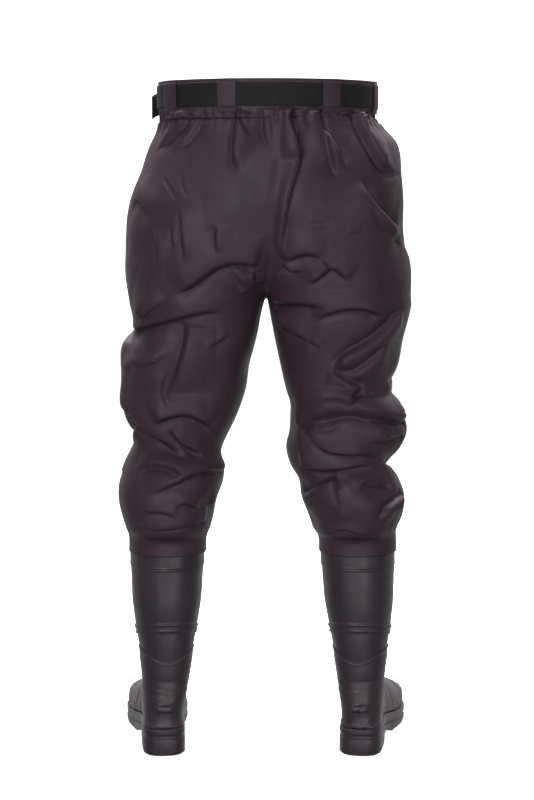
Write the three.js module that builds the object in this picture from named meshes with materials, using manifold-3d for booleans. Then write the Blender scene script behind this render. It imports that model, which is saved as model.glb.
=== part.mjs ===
// Waist waders standing as if worn: two fabric trouser halves, each welded round the shaft of a moulded
// boot, a gathered waistband with loops, and a webbing belt with a side-release buckle. Lengths are
// millimetres. +Z is up, the toes point along +Y, and the origin is on the floor under the middle.
import * as THREE from "three";
import { mergeVertices } from "three/addons/utils/BufferGeometryUtils.js";
import Module from "manifold-3d";

const wasm = await Module();
wasm.setup();

// Where the wearer's middle line stands, so that the origin is under the middle of the box
const middleX = 4;
const middleY = -45;

// Trousers
const waistTop = 1126;
const bandHeight = 60;
const waistSeam = waistTop - bandHeight;
const waistWidth = 358;
const waistDepth = 236;
const hipWidth = 470;
const hipDepth = 276;
const crotchHeight = 779;
const hemHeight = 341;
const fabric = 1;
const weldGap = 0.5;
const backSeamShift = 28;

// Boots
const bootLength = 312;
const ballWidth = 110;
const heelWidth = 72;
const bootHeight = 366;
const ankleHeight = 150;
const instepHeight = 103;
const shaftWidth = 127;
const shaftDepth = 138;
const bootWall = 3;
const heelBlock = 29;
const foreBlock = 13;
const foxing = 17;
const toeSpring = 12;
const heelLength = 84;
const archLength = 84;
const archRise = 15;
const lugDepth = 5;
const lugGap = 6;
const soleBevel = 2.5;
const grooveWidth = 5;
const grooveDepth = 2.2;
const upperInset = 3;
const insoleThickness = 4;
const insoleEase = 3;
// How far the middle of each shaft stands from the wearer's middle line.
const leftStance = 179;
const rightStance = 165;
// Each boot: the side it is worn on, where its shaft's middle stands, how far its toes turn out in
// degrees, and how far its ankle and its top lean towards the other leg.
const feet = [
  { name: "left", side: -1, x: -leftStance, turn: 6, ankleLean: 6, topLean: 10 },
  { name: "right", side: 1, x: rightStance, turn: 9, ankleLean: 4, topLean: 12 },
];

// Waistband, belt and buckle
const bandThickness = 3;
const beltWidth = 38;
const beltThickness = 2;
const beltDrop = 6;
const beltBottom = waistTop - beltDrop - beltWidth;
const loopWidth = 30;
const loopThickness = 1.4;
const loopTab = 9;
const buckleLength = 66;
const buckleHeight = 46;
const buckleThickness = 11;
const buckleRound = 6;
const beltInsert = 8;
const tailDrop = 16;

// Nets: columns round a leg or boot, segments round the waist, and the gap between pieces that touch
const columns = 20;
const waistSegments = 36;
const fit = 0.3;

const half = (length) => length / 2;
const lerp = THREE.MathUtils.lerp;
const radians = THREE.MathUtils.degToRad;
const ease = (value) => THREE.MathUtils.smoothstep(value, 0, 1);
const bent = (value, power) => Math.sign(value) * Math.abs(value) ** power;

// Reads a column of a table of rows at a place between them, on a smooth curve through the rows.
function along(table, key, place, column) {
  const last = table.length - 1;
  let row = 0;
  while (row < last - 1 && place > table[row + 1][key]) row += 1;
  const span = table[row + 1][key] - table[row][key];
  const share = THREE.MathUtils.clamp((place - table[row][key]) / span, 0, 1);
  const value = (index) => table[THREE.MathUtils.clamp(index, 0, last)][column];
  const slope = (index) => {
    const before = table[Math.max(index - 1, 0)];
    const after = table[Math.min(index + 1, last)];
    return ((after[column] - before[column]) / (after[key] - before[key])) * span;
  };
  const s2 = share * share;
  const s3 = s2 * share;
  return (
    value(row) * (2 * s3 - 3 * s2 + 1) +
    slope(row) * (s3 - 2 * s2 + share) +
    value(row + 1) * (3 * s2 - 2 * s3) +
    slope(row + 1) * (s3 - s2)
  );
}

// A closed geometry from triangles of points. Triangles with no area are dropped, and the faces are
// turned out.
function solidGeometry(triangles) {
  const kept = triangles.filter(
    ([a, b, c]) => a.distanceTo(b) > 1e-4 && b.distanceTo(c) > 1e-4 && c.distanceTo(a) > 1e-4,
  );
  const cross = new THREE.Vector3();
  const volume = kept.reduce((sum, [a, b, c]) => sum + a.dot(cross.crossVectors(b, c)), 0);
  const corners = kept.flatMap(([a, b, c]) => (volume < 0 ? [a, c, b] : [a, b, c]));
  const geometry = new THREE.BufferGeometry().setFromPoints(corners);
  geometry.computeVertexNormals();
  return geometry;
}

// A geometry's triangles as points.
function trianglesOf(geometry) {
  const plain = geometry.index ? geometry.toNonIndexed() : geometry;
  const position = plain.getAttribute("position");
  const triangles = [];
  for (let i = 0; i < position.count; i += 3) {
    triangles.push([0, 1, 2].map((k) => new THREE.Vector3().fromBufferAttribute(position, i + k)));
  }
  return triangles;
}

// The two triangles of a four-cornered face.
const quad = (a, b, c, d) => [
  [a, b, c],
  [a, c, d],
];

// Triangles of a closed tube of rings, with or without its two end faces.
function ringTriangles(rings, capped) {
  const triangles = [];
  const count = rings[0].length;
  for (let k = 0; k < rings.length - 1; k += 1) {
    for (let i = 0; i < count; i += 1) {
      const next = (i + 1) % count;
      triangles.push(...quad(rings[k][i], rings[k][next], rings[k + 1][next], rings[k + 1][i]));
    }
  }
  if (capped) {
    const first = rings[0];
    const last = rings[rings.length - 1];
    for (let i = 0; i < count / 2 - 1; i += 1) {
      const far = count - 1 - i;
      triangles.push(...quad(first[i], first[far], first[far - 1], first[i + 1]));
      triangles.push(...quad(last[i], last[i + 1], last[far - 1], last[far]));
    }
  }
  return triangles;
}

// The direction square to a net at one of its points. A closed row meets itself, so its ends share one
// direction.
function netNormal(rows, j, i) {
  const row = rows[j].points;
  const end = row.length - 1;
  const before = i > 0 ? row[i - 1] : rows[j].closed ? row[end - 1] : row[i];
  const after = i < end ? row[i + 1] : rows[j].closed ? row[1] : row[i];
  const above = rows[Math.max(j - 1, 0)].points;
  const below = rows[Math.min(j + 1, rows.length - 1)].points;
  const twin = rows[j].closed && (i === 0 || i === end) ? end - i : i;
  const down = new THREE.Vector3().subVectors(below[i], above[i]);
  down.add(new THREE.Vector3().subVectors(below[twin], above[twin]));
  const round = new THREE.Vector3().subVectors(after, before);
  const normal = new THREE.Vector3().crossVectors(down, round);
  if (rows[j].flat) normal[rows[j].flat] = 0;
  if (rows[j].flatEnds && (i === 0 || i === end)) normal[rows[j].flatEnds] = 0;
  return normal.normalize();
}

// A wall of even thickness behind a net of rows. A row's proud lifts the outer face, and a row that
// isn't closed leaves the wall open between its two ends. A row's flat and flatEnds name the axis that
// its wall, or the wall at its two ends, doesn't lean along.
function wallTriangles(rows, wall, outward) {
  const faces = rows.map((row, j) =>
    row.points.map((point, i) => {
      const normal = netNormal(rows, j, i).multiplyScalar(outward);
      const proud = row.proud ? row.proud[i] : 0;
      return {
        outer: point.clone().addScaledVector(normal, proud),
        inner: point.clone().addScaledVector(normal, -wall),
      };
    }),
  );
  const triangles = [];
  const end = faces[0].length - 1;
  const strip = (a, b) => triangles.push(...quad(a.outer, b.outer, b.inner, a.inner));
  for (let j = 0; j < faces.length - 1; j += 1) {
    const [here, next] = [faces[j], faces[j + 1]];
    for (let i = 0; i < end; i += 1) {
      triangles.push(...quad(here[i].outer, here[i + 1].outer, next[i + 1].outer, next[i].outer));
      triangles.push(...quad(here[i].inner, next[i].inner, next[i + 1].inner, here[i + 1].inner));
    }
    if (!(rows[j].closed && rows[j + 1].closed)) {
      strip(here[0], next[0]);
      strip(next[end], here[end]);
    }
  }
  const last = faces[faces.length - 1];
  for (let i = 0; i < end; i += 1) {
    strip(faces[0][i + 1], faces[0][i]);
    strip(last[i], last[i + 1]);
  }
  return triangles;
}

// Booleans: a geometry made a manifold solid, and back.
function toManifold(geometry) {
  const bare = new THREE.BufferGeometry();
  bare.setAttribute("position", geometry.getAttribute("position"));
  if (geometry.index) bare.setIndex(geometry.index);
  const merged = mergeVertices(bare, 1e-3);
  return new wasm.Manifold(
    new wasm.Mesh({
      numProp: 3,
      vertProperties: merged.attributes.position.array,
      triVerts: new Uint32Array(merged.index.array),
    }),
  );
}

function fromManifold(solid) {
  const mesh = solid.getMesh();
  const geometry = new THREE.BufferGeometry();
  geometry.setAttribute("position", new THREE.BufferAttribute(mesh.vertProperties, 3));
  geometry.setIndex(new THREE.BufferAttribute(mesh.triVerts, 1));
  geometry.computeVertexNormals();
  return geometry;
}

// A block between two corners, for cutting.
function block(low, high) {
  const size = new THREE.Vector3().subVectors(high, low);
  const box = new THREE.BoxGeometry(size.x, size.y, size.z);
  box.translate(...new THREE.Vector3().addVectors(low, high).multiplyScalar(0.5).toArray());
  return toManifold(box);
}

// Boot, in its own frame: lateral is +X, the heel's back is at Y 0 and the floor at Z 0.

// Plan of the sole: place along it, its middle as a share of the ball width, and how far it has widened
// from heel to ball.
const plan = [
  { at: 0.0, middle: 0.0, wide: 0.0 },
  { at: 0.24, middle: 0.0, wide: 0.02 },
  { at: 0.4, middle: 0.02, wide: -0.1 },
  { at: 0.54, middle: 0.03, wide: 0.35 },
  { at: 0.66, middle: 0.03, wide: 0.8 },
  { at: 0.77, middle: 0.015, wide: 1.0 },
  { at: 0.88, middle: -0.015, wide: 0.82 },
  { at: 1.0, middle: -0.06, wide: 0.1 },
];
const heelRound = { reach: half(heelWidth), power: 2.5 };
const toeRound = { reach: 0.2 * bootLength, power: 2.2 };

// How much of its width the sole keeps at a place near the heel or toe.
function endRound(y) {
  const heel = Math.max(0, (heelRound.reach - y) / heelRound.reach);
  const toe = Math.max(0, (y - bootLength + toeRound.reach) / toeRound.reach);
  const kept = (share, power) => Math.max(0, 1 - share ** power) ** (1 / power);
  return kept(heel, heelRound.power) * kept(toe, toeRound.power);
}

const placeAlong = (y) => THREE.MathUtils.clamp(y / bootLength, 0, 1);
const middleOf = (y) => along(plan, "at", placeAlong(y), "middle") * ballWidth;

// The sole's edge at a place along it, on one side: 1 is lateral and -1 is medial.
function soleEdge(y, side) {
  const wide = along(plan, "at", placeAlong(y), "wide");
  const width = lerp(half(heelWidth), half(ballWidth), wide) * endRound(y);
  return new THREE.Vector3(middleOf(y) + side * width, y, 0);
}

// The same edge moved inwards, square to itself.
function insetEdge(y, side, inset) {
  const step = 0.5;
  const here = soleEdge(y, side);
  if (y <= 0 || y >= bootLength) return here.add(new THREE.Vector3(0, y <= 0 ? inset : -inset, 0));
  const before = soleEdge(Math.max(0, y - step), side);
  const after = soleEdge(Math.min(bootLength, y + step), side);
  const run = after.sub(before).normalize();
  return here.add(new THREE.Vector3(-side * run.y, side * run.x, 0).multiplyScalar(inset));
}

// Heights along the sole: its underside, the groove under the foxing, and the top that the upper stands on.
const springStart = 0.74;
const underside = (y) => toeSpring * Math.max(0, (y / bootLength - springStart) / (1 - springStart)) ** 1.7;
const grooveLevel = (y) => underside(y) + lerp(heelBlock, foreBlock, ease((y / bootLength - 0.28) / 0.36));
const soleTop = (y) => grooveLevel(y) + foxing;

// Steps up the side of the sole: what the height is counted from, how far above it, and how far in from
// the edge.
const soleSteps = [
  { from: underside, above: 0, inset: soleBevel },
  { from: underside, above: soleBevel, inset: 0 },
  { from: grooveLevel, above: -0.5 * grooveWidth, inset: 0 },
  { from: grooveLevel, above: -0.3 * grooveWidth, inset: grooveDepth },
  { from: grooveLevel, above: 0.3 * grooveWidth, inset: grooveDepth },
  { from: grooveLevel, above: 0.5 * grooveWidth, inset: 0 },
  { from: soleTop, above: -0.8 * soleBevel, inset: 0 },
  { from: soleTop, above: 0, inset: 0.7 * soleBevel },
];

// Stations along the boot, as shares of its length: the sole, the insole and the upper all have their
// sections there.
const stations = [
  0, 0.006, 0.028, 0.075, 0.15, 0.25, 0.35, 0.45, 0.55, 0.66, 0.78, 0.87, 0.93, 0.965, 0.99, 1,
];

// Height of the sole's top face, which is straight between two stations.
function topFace(y) {
  const at = placeAlong(y);
  const next = Math.max(1, stations.findIndex((station) => station >= at));
  const [from, to] = [stations[next - 1], stations[next]];
  return lerp(soleTop(from * bootLength), soleTop(to * bootLength), (at - from) / (to - from));
}

function outsoleGeometry() {
  const rings = [];
  for (const station of stations) {
    const y = station * bootLength;
    const corner = (side) => (step) => {
      const point = insetEdge(y, side, step.inset);
      point.z = step.from(y) + step.above;
      return point;
    };
    rings.push([...soleSteps.map(corner(1)), ...soleSteps.map(corner(-1)).reverse()]);
  }
  let sole = toManifold(solidGeometry(ringTriangles(rings, true)));
  sole = sole.subtract(archBlock());
  for (const groove of treadGrooves()) sole = sole.subtract(groove);
  return fromManifold(sole);
}

// The hollow between the heel's breast and the tread, under the arch.
function archBlock() {
  const profile = new THREE.Shape([
    new THREE.Vector2(heelLength, -foreBlock),
    new THREE.Vector2(heelLength, archRise),
    new THREE.Vector2(heelLength + 0.4 * archLength, 0.93 * archRise),
    new THREE.Vector2(heelLength + 0.93 * archLength, 0.15 * archRise),
    new THREE.Vector2(heelLength + archLength, -foreBlock),
  ]);
  const prism = new THREE.ExtrudeGeometry(profile, { depth: 2 * ballWidth, bevelEnabled: false });
  prism.translate(0, 0, -ballWidth);
  prism.applyMatrix4(new THREE.Matrix4().makeBasis(
    new THREE.Vector3(0, 1, 0),
    new THREE.Vector3(0, 0, 1),
    new THREE.Vector3(1, 0, 0),
  ));
  return toManifold(prism);
}

// Grooves across the heel and the forefoot leave the main lugs standing.
function treadGrooves() {
  const heelGrooves = [0.36, 0.68].map((share) => share * heelLength);
  const foreStart = heelLength + archLength + 2 * lugGap;
  const foreGrooves = [0, 0.19, 0.38, 0.57, 0.76].map((share) => lerp(foreStart, bootLength, share));
  return [...heelGrooves, ...foreGrooves].map((y) => {
    const low = new THREE.Vector3(-ballWidth, y - half(lugGap), -lugDepth);
    const high = new THREE.Vector3(ballWidth, y + half(lugGap), underside(y) + lugDepth);
    return block(low, high);
  });
}

// The insole lies on the sole inside the upper.
function insoleGeometry() {
  const inset = upperInset + bootWall + insoleEase;
  const lifts = [fit, fit + insoleThickness];
  const rings = stations.map((station) => {
    const y = station * bootLength;
    const corner = (side) => (lift) => insetEdge(y, side, inset).setZ(topFace(y) + lift);
    return [...lifts.map(corner(1)), ...lifts.map(corner(-1)).reverse()];
  });
  return solidGeometry(ringTriangles(rings, true));
}

// Rings of the shaft from its top down to the ankle: height between ankle and top, width and depth as
// shares of the shaft's, where the back line stands as a share of its depth, how far the ring rises at
// the back as a share of the ankle's height, and how far its face stands proud as a share of the wall.
const shaftRings = [
  { up: 1.0, wide: 1.0, deep: 1.0, back: 0.0, rise: 0.0, proud: 0.2 },
  { up: 0.79, wide: 0.99, deep: 0.995, back: 0.0, rise: 0.0, proud: 0.2 },
  { up: 0.77, wide: 0.985, deep: 0.99, back: 0.0, rise: 0.0, proud: 0.0 },
  { up: 0.5, wide: 0.94, deep: 0.94, back: 0.01, rise: 0.0, proud: 0.0 },
  { up: 0.275, wide: 0.835, deep: 0.87, back: 0.045, rise: 0.09, proud: 0.0 },
  { up: 0.255, wide: 0.82, deep: 0.86, back: 0.05, rise: 0.09, proud: 0.45 },
  { up: 0.225, wide: 0.8, deep: 0.85, back: 0.055, rise: 0.09, proud: 0.0 },
  { up: 0.09, wide: 0.71, deep: 0.785, back: 0.09, rise: -0.12, proud: 0.0 },
  { up: 0.075, wide: 0.705, deep: 0.78, back: 0.093, rise: -0.12, proud: 0.4 },
];

// Sections that fan round from the ankle to the toe: the heel's back line (down from the ankle), then
// the place under the foot, each joined to a place on the instep and vamp. Height up the instep runs
// from the vamp's start to the ankle, and lean is the share of the ankle's lean that is left.
const heelSections = [
  { backY: 0.098, backZ: 0.8, frontY: 0.15, frontUp: 0.93, wide: 0.66, lean: 0.85, spur: 0.0 },
  { backY: 0.06, backZ: 0.64, frontY: 0.22, frontUp: 0.8, wide: 0.63, lean: 0.6, spur: 0.0 },
  { backY: 0.045, backZ: 0.56, frontY: 0.25, frontUp: 0.73, wide: 0.61, lean: 0.45, spur: 0.0 },
  { backY: 0.04, backZ: 0.545, frontY: 0.262, frontUp: 0.7, wide: 0.605, lean: 0.42, spur: 1.0 },
  { backY: 0.038, backZ: 0.51, frontY: 0.28, frontUp: 0.66, wide: 0.6, lean: 0.35, spur: 1.0 },
  { backY: 0.035, backZ: 0.49, frontY: 0.3, frontUp: 0.62, wide: 0.6, lean: 0.3, spur: 0.0 },
];
const spurReach = 5;

// Sections along the foot: the station where it stands on the sole, the place along the boot where it
// crosses the vamp, and the vamp's height there, between the sole's top and the instep.
const footSections = [
  { station: 0, vamp: 0.465, high: 1.2 },
  { station: 1, vamp: 0.475, high: 1.17 },
  { station: 2, vamp: 0.492, high: 1.12 },
  { station: 3, vamp: 0.52, high: 1.05 },
  { station: 4, vamp: 0.555, high: 0.975 },
  { station: 5, vamp: 0.6, high: 0.89 },
  { station: 6, vamp: 0.645, high: 0.82 },
  { station: 7, vamp: 0.69, high: 0.755 },
  { station: 8, vamp: 0.74, high: 0.69 },
  { station: 9, vamp: 0.795, high: 0.62 },
  { station: 10, vamp: 0.86, high: 0.53 },
  { station: 11, vamp: 0.92, high: 0.41 },
  { station: 12, vamp: 0.965, high: 0.27 },
];
const toeStart = 0.965;

// One section of the boot, from the back of the heel or the sole's edge, up over the front and back
// again. It is given by its lowest and highest points, its half widths at the foot and at its widest,
// and where between it is widest.
function bootSection({ low, high, foot, wide, peak, power }) {
  const points = [];
  for (let i = 0; i <= columns; i += 1) {
    const angle = -Math.PI / 2 + (2 * Math.PI * i) / columns;
    const rise = bent(Math.sin(angle), 2 / power);
    const bulge = Math.abs(Math.cos(angle)) ** (2 / power);
    const share = rise < 0 ? peak * (1 + rise) : lerp(peak, 1, rise);
    const reach = rise < 0 ? lerp(foot, wide, bulge) : wide * bulge;
    const point = new THREE.Vector3().lerpVectors(low, high, share);
    point.x += i <= columns / 2 ? reach : -reach;
    points.push(point);
  }
  return points;
}

// How far the shaft's middle stands from the heel's, at a height between ankle and top.
const leanAt = (foot, up) => -lerp(foot.ankleLean, foot.topLean, up);

// The ring of the shaft that a row of its table describes.
function shaftRow(foot, ring) {
  const height = lerp(ankleHeight, bootHeight, ring.up);
  const depth = ring.deep * shaftDepth;
  const back = ring.back * shaftDepth;
  const across = leanAt(foot, ring.up);
  const reach = half(ring.wide * shaftWidth);
  const points = bootSection({
    low: new THREE.Vector3(across, back, height),
    high: new THREE.Vector3(across, back + depth, height),
    foot: 0,
    wide: reach,
    peak: 0.5,
    power: 2,
  });
  points.forEach((point, i) => {
    const backness = Math.max(0, Math.cos((2 * Math.PI * i) / columns));
    point.z += ring.rise * ankleHeight * backness;
  });
  return { points, closed: true, flat: ring.up === 1 && "z", proud: points.map(() => ring.proud * bootWall) };
}

// A section between the ankle and the heel's corner.
function heelRow(foot, section) {
  const reach = half(section.wide * shaftWidth);
  const across = leanAt(foot, 0) * section.lean;
  const frontZ = lerp(instepHeight, ankleHeight, section.frontUp);
  const frontY = lerp(shaftRings.at(-1).back * shaftDepth + shaftRings.at(-1).deep * shaftDepth,
    bootLength * footSections[0].vamp, section.frontY);
  const points = bootSection({
    low: new THREE.Vector3(across, section.backY * shaftDepth, section.backZ * ankleHeight),
    high: new THREE.Vector3(across, frontY, frontZ),
    foot: 0,
    wide: reach,
    peak: 0.42,
    power: 2,
  });
  const spurWeight = (i) => (Math.min(i, columns - i) <= 1 ? section.spur * spurReach : 0);
  return { points, closed: true, proud: points.map((_, i) => spurWeight(i)) };
}

// A section along the foot. Its foot stands on the sole, a little in from the edge.
function footRow(section) {
  const y = stations[section.station] * bootLength;
  const vampY = bootLength * section.vamp;
  const peak = 0.3;
  const stood = [1, -1].map((side) => insetEdge(y, side, upperInset));
  const low = new THREE.Vector3().addVectors(...stood).multiplyScalar(0.5).setZ(topFace(y) + fit);
  const high = new THREE.Vector3(middleOf(vampY), vampY, lerp(soleTop(vampY), instepHeight, section.high));
  const foot = half(stood[0].distanceTo(stood[1]));
  const widestY = lerp(low.y, vampY, peak);
  const widest = [1, -1].map((side) => insetEdge(widestY, side, upperInset - 1));
  const wide = half(widest[0].distanceTo(widest[1]));
  const points = bootSection({ low, high, foot, wide, peak, power: 2.2 });
  return { points, closed: foot < fit, flatEnds: "z" };
}

// The last row lies along the sole's edge, round the toe.
function toeRow() {
  const points = [];
  for (let i = 0; i <= columns; i += 1) {
    const share = half(1 - Math.cos((2 * Math.PI * i) / columns));
    const y = bootLength * lerp(toeStart, 1, share);
    points.push(insetEdge(y, i <= columns / 2 ? 1 : -1, upperInset).setZ(topFace(y) + fit));
  }
  return { points, closed: false, flat: "z" };
}

const bootRows = (foot) => [
  ...shaftRings.map((ring) => shaftRow(foot, ring)),
  ...heelSections.map((section) => heelRow(foot, section)),
  ...footSections.map(footRow),
  toeRow(),
];

const upperGeometry = (foot) => solidGeometry(wallTriangles(bootRows(foot), bootWall, 1));

// A point of the boot's own frame, where that boot stands. The shaft's middle is the point it turns about.
function standBoot(foot, point) {
  const stood = new THREE.Vector3(foot.side * point.x, point.y - half(shaftDepth), point.z);
  stood.applyAxisAngle(new THREE.Vector3(0, 0, 1), radians(-foot.side * foot.turn));
  stood.x += foot.x;
  return stood;
}

function standGeometry(foot, geometry) {
  const stand = (corners) => corners.map((point) => standBoot(foot, point));
  return solidGeometry(trianglesOf(geometry).map(stand));
}

// The outer face of the shaft at a height, as one point for each column, moved out by a distance.
function shaftFace(foot, height, distance) {
  const rings = shaftRings.slice(0, 4).map((ring) => shaftRow(foot, ring));
  const level = THREE.MathUtils.clamp(height, rings[3].points[0].z, bootHeight);
  let k = 0;
  while (k < rings.length - 2 && rings[k + 1].points[0].z > level) k += 1;
  const [upper, lower] = [rings[k], rings[k + 1]];
  const share = (upper.points[0].z - level) / (upper.points[0].z - lower.points[0].z);
  const proud = Math.max(upper.proud[0], lower.proud[0]);
  return upper.points.map((point, i) => {
    const mixed = new THREE.Vector3().lerpVectors(point, lower.points[i], share);
    const out = new THREE.Vector3(mixed.x + foot.topLean, mixed.y - half(shaftDepth), 0).normalize();
    return mixed.addScaledVector(out, proud + distance).setZ(height);
  });
}

// Trousers, in the wearer's frame: the middle line is at X 0 and Y 0, and each half runs from the seam
// round its leg.

// Sections of the seat, from the crotch up to the waist seam: how far up, each side's reach as a share
// of hip to waist, the angle at which the seam cuts the section, and its back and front reach as shares
// of hip to waist depth.
const seatSections = [
  { up: 1.0, left: 1.0, right: 1.01, cut: 90, back: 1.0, front: 1.0 },
  { up: 0.94, left: 0.985, right: 1.07, cut: 90, back: 1.02, front: 0.99 },
  { up: 0.86, left: 1.01, right: 1.15, cut: 90, back: 1.08, front: 0.99 },
  { up: 0.7, left: 1.055, right: 1.15, cut: 88, back: 1.15, front: 1.01 },
  { up: 0.53, left: 1.106, right: 1.106, cut: 82, back: 1.18, front: 1.005 },
  { up: 0.37, left: 1.1, right: 1.05, cut: 72, back: 1.14, front: 0.98 },
  { up: 0.22, left: 1.06, right: 1.04, cut: 58, back: 1.08, front: 0.95 },
  { up: 0.11, left: 1.03, right: 1.04, cut: 43, back: 1.02, front: 0.92 },
  { up: 0.035, left: 1.0, right: 1.03, cut: 24, back: 0.97, front: 0.89 },
  { up: 0.0, left: 0.985, right: 1.02, cut: 0, back: 0.95, front: 0.88 },
];

// Sections of each leg, from the crotch down to the hem: how far down, the outer and inner reach from
// the leg's middle line as shares of its size there, and the same for its back and front.
const legSections = {
  left: [
    { down: 0.036, out: 0.95, in: 0.98, back: 0.94, front: 0.88 },
    { down: 0.102, out: 0.9, in: 0.99, back: 0.91, front: 0.9 },
    { down: 0.153, out: 0.9, in: 1.01, back: 0.9, front: 0.91 },
    { down: 0.204, out: 1.06, in: 1.0, back: 0.96, front: 0.93 },
    { down: 0.275, out: 1.11, in: 0.97, back: 0.98, front: 0.95 },
    { down: 0.367, out: 1.11, in: 1.01, back: 0.95, front: 0.98 },
    { down: 0.463, out: 1.07, in: 0.97, back: 0.97, front: 1.01 },
    { down: 0.524, out: 0.96, in: 0.91, back: 0.95, front: 1.01 },
    { down: 0.573, out: 0.82, in: 0.86, back: 0.9, front: 1.0 },
    { down: 0.614, out: 0.9, in: 0.85, back: 0.99, front: 1.01 },
    { down: 0.662, out: 1.04, in: 0.98, back: 1.13, front: 1.03 },
    { down: 0.728, out: 1.18, in: 1.03, back: 1.25, front: 1.06 },
    { down: 0.797, out: 1.22, in: 0.96, back: 1.3, front: 1.09 },
    { down: 0.866, out: 1.15, in: 0.96, back: 1.27, front: 1.08 },
    { down: 0.911, out: 1.07, in: 0.93, back: 1.17, front: 1.04 },
  ],
  right: [
    { down: 0.036, out: 1.07, in: 1.0, back: 0.94, front: 0.88 },
    { down: 0.102, out: 1.04, in: 1.01, back: 0.93, front: 0.9 },
    { down: 0.18, out: 0.97, in: 1.02, back: 0.91, front: 0.92 },
    { down: 0.272, out: 0.91, in: 1.02, back: 0.92, front: 0.94 },
    { down: 0.34, out: 0.8, in: 1.02, back: 0.9, front: 0.95 },
    { down: 0.385, out: 0.73, in: 1.01, back: 0.89, front: 0.95 },
    { down: 0.423, out: 0.92, in: 0.98, back: 1.0, front: 0.98 },
    { down: 0.478, out: 1.06, in: 1.04, back: 1.09, front: 1.02 },
    { down: 0.527, out: 1.12, in: 1.1, back: 1.09, front: 1.01 },
    { down: 0.592, out: 1.01, in: 1.24, back: 1.02, front: 1.0 },
    { down: 0.667, out: 0.77, in: 1.22, back: 0.98, front: 1.02 },
    { down: 0.717, out: 0.93, in: 1.1, back: 1.15, front: 1.05 },
    { down: 0.785, out: 1.12, in: 1.12, back: 1.31, front: 1.08 },
    { down: 0.854, out: 1.1, in: 1.04, back: 1.28, front: 1.09 },
    { down: 0.911, out: 0.96, in: 1.0, back: 1.19, front: 1.04 },
  ],
};
const seatPower = 2.25;

// A row of the seat on one side of the seam. The back of the seam stands to one side of the middle.
function seatRow(foot, section) {
  const reach = section[foot.name] * lerp(half(hipWidth), half(waistWidth), section.up);
  const back = section.back * lerp(half(hipDepth), half(waistDepth), section.up);
  const front = section.front * lerp(half(hipDepth), half(waistDepth), section.up);
  const cut = radians(section.cut);
  const power = 2 / lerp(seatPower, 2, section.up);
  const reachIn = Math.cos(cut) ** power;
  const across = (reach - half(fit)) / (1 + reachIn);
  const z = lerp(crotchHeight, waistSeam, section.up);
  const points = [];
  for (let i = 0; i <= columns; i += 1) {
    const angle = lerp(cut, 2 * Math.PI - cut, i / columns);
    const fromSeam = across * (reachIn - bent(Math.cos(angle), power)) + half(fit);
    const depth = bent(Math.sin(angle), power);
    const y = depth > 0 ? depth * front : depth * back;
    const shift = backSeamShift * section.up * Math.max(0, -depth) * (1 - (fromSeam / reach) ** 2);
    points.push(new THREE.Vector3(foot.side * fromSeam + shift, y, z));
  }
  return { points, closed: section.cut === 0, flat: section.up === 1 && "z", flatEnds: "x" };
}

// A row of the leg. The leg's middle line runs from the middle of the hip's half to the shaft's.
function legRow(foot, section) {
  const shaftMiddle = foot.x - foot.side * foot.topLean;
  const middle = lerp((foot.side * hipWidth) / 4, shaftMiddle, section.down);
  const size = lerp(hipWidth / 4, half(shaftWidth) + weldGap + fabric, section.down);
  const depth = lerp(half(hipDepth), half(shaftDepth), section.down);
  const outer = middle + foot.side * section.out * size;
  const inner = middle - foot.side * section.in * size;
  const power = 2 / lerp(seatPower, 2.1, section.down);
  const points = [];
  for (let i = 0; i <= columns; i += 1) {
    const angle = (2 * Math.PI * i) / columns;
    const x = lerp(inner, outer, half(1 - bent(Math.cos(angle), power)));
    const rise = bent(Math.sin(angle), power);
    const y = rise * depth * (rise > 0 ? section.front : section.back);
    points.push(new THREE.Vector3(x, y, lerp(crotchHeight, hemHeight, section.down)));
  }
  return { points, closed: true };
}

// A row of the leg where it is welded round the shaft. A leg's columns start at its inner side, a
// boot's at its back.
function hemRow(foot, height) {
  const face = shaftFace(foot, height, weldGap + fabric);
  const points = [];
  for (let i = 0; i <= columns; i += 1) {
    points.push(standBoot(foot, face[(columns + (3 * columns) / 4 - i) % columns]));
  }
  return { points, closed: true, flat: "z" };
}

function trouserGeometry(foot) {
  const rows = [
    ...seatSections.map((section) => seatRow(foot, section)),
    ...legSections[foot.name].map((section) => legRow(foot, section)),
    hemRow(foot, bootHeight + 2),
    hemRow(foot, hemHeight),
  ];
  return solidGeometry(wallTriangles(rows, fabric, -foot.side));
}

// Waist, in the wearer's frame. A place round the waist is counted in segments from the back, to the right.

// The waist's outline pushed out by an offset. Between its corners it is straight, so that stacked
// pieces fit.
function waistPoint(place, offset, z) {
  const corner = (index) => {
    const angle = (2 * Math.PI * index) / waistSegments;
    const x = (half(waistWidth) + offset) * Math.sin(angle);
    return new THREE.Vector3(x, -(half(waistDepth) + offset) * Math.cos(angle), z);
  };
  const before = Math.floor(place);
  return new THREE.Vector3().lerpVectors(corner(before), corner(before + 1), place - before);
}

// A profile of offsets and heights swept round the waist, all the way or between two places. A change
// of the profile along the way is added by a function of how far along it is.
function waistSweep(profile, from, to, change = () => ({ out: 0, up: 0 })) {
  const whole = to - from >= waistSegments;
  const places = [from];
  for (let place = Math.floor(from) + 1; place < to - 1e-6; place += 1) places.push(place);
  if (!whole) places.push(to);
  const rings = places.map((place) => {
    const moved = change((place - from) / (to - from));
    return profile.map(([offset, z]) => waistPoint(place, offset + moved.out, z + moved.up));
  });
  return solidGeometry(ringTriangles(whole ? [...rings, rings[0]] : rings, !whole));
}

const band = (low, high, bottom, top) => [
  [low, bottom],
  [low, top],
  [high, top],
  [high, bottom],
];

const waistbandOut = half(bandThickness);
const beltOut = waistbandOut + fit;
const loopOut = beltOut + beltThickness + fit;
const placeAt = (degrees) => (waistSegments * degrees) / 360;

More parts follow.
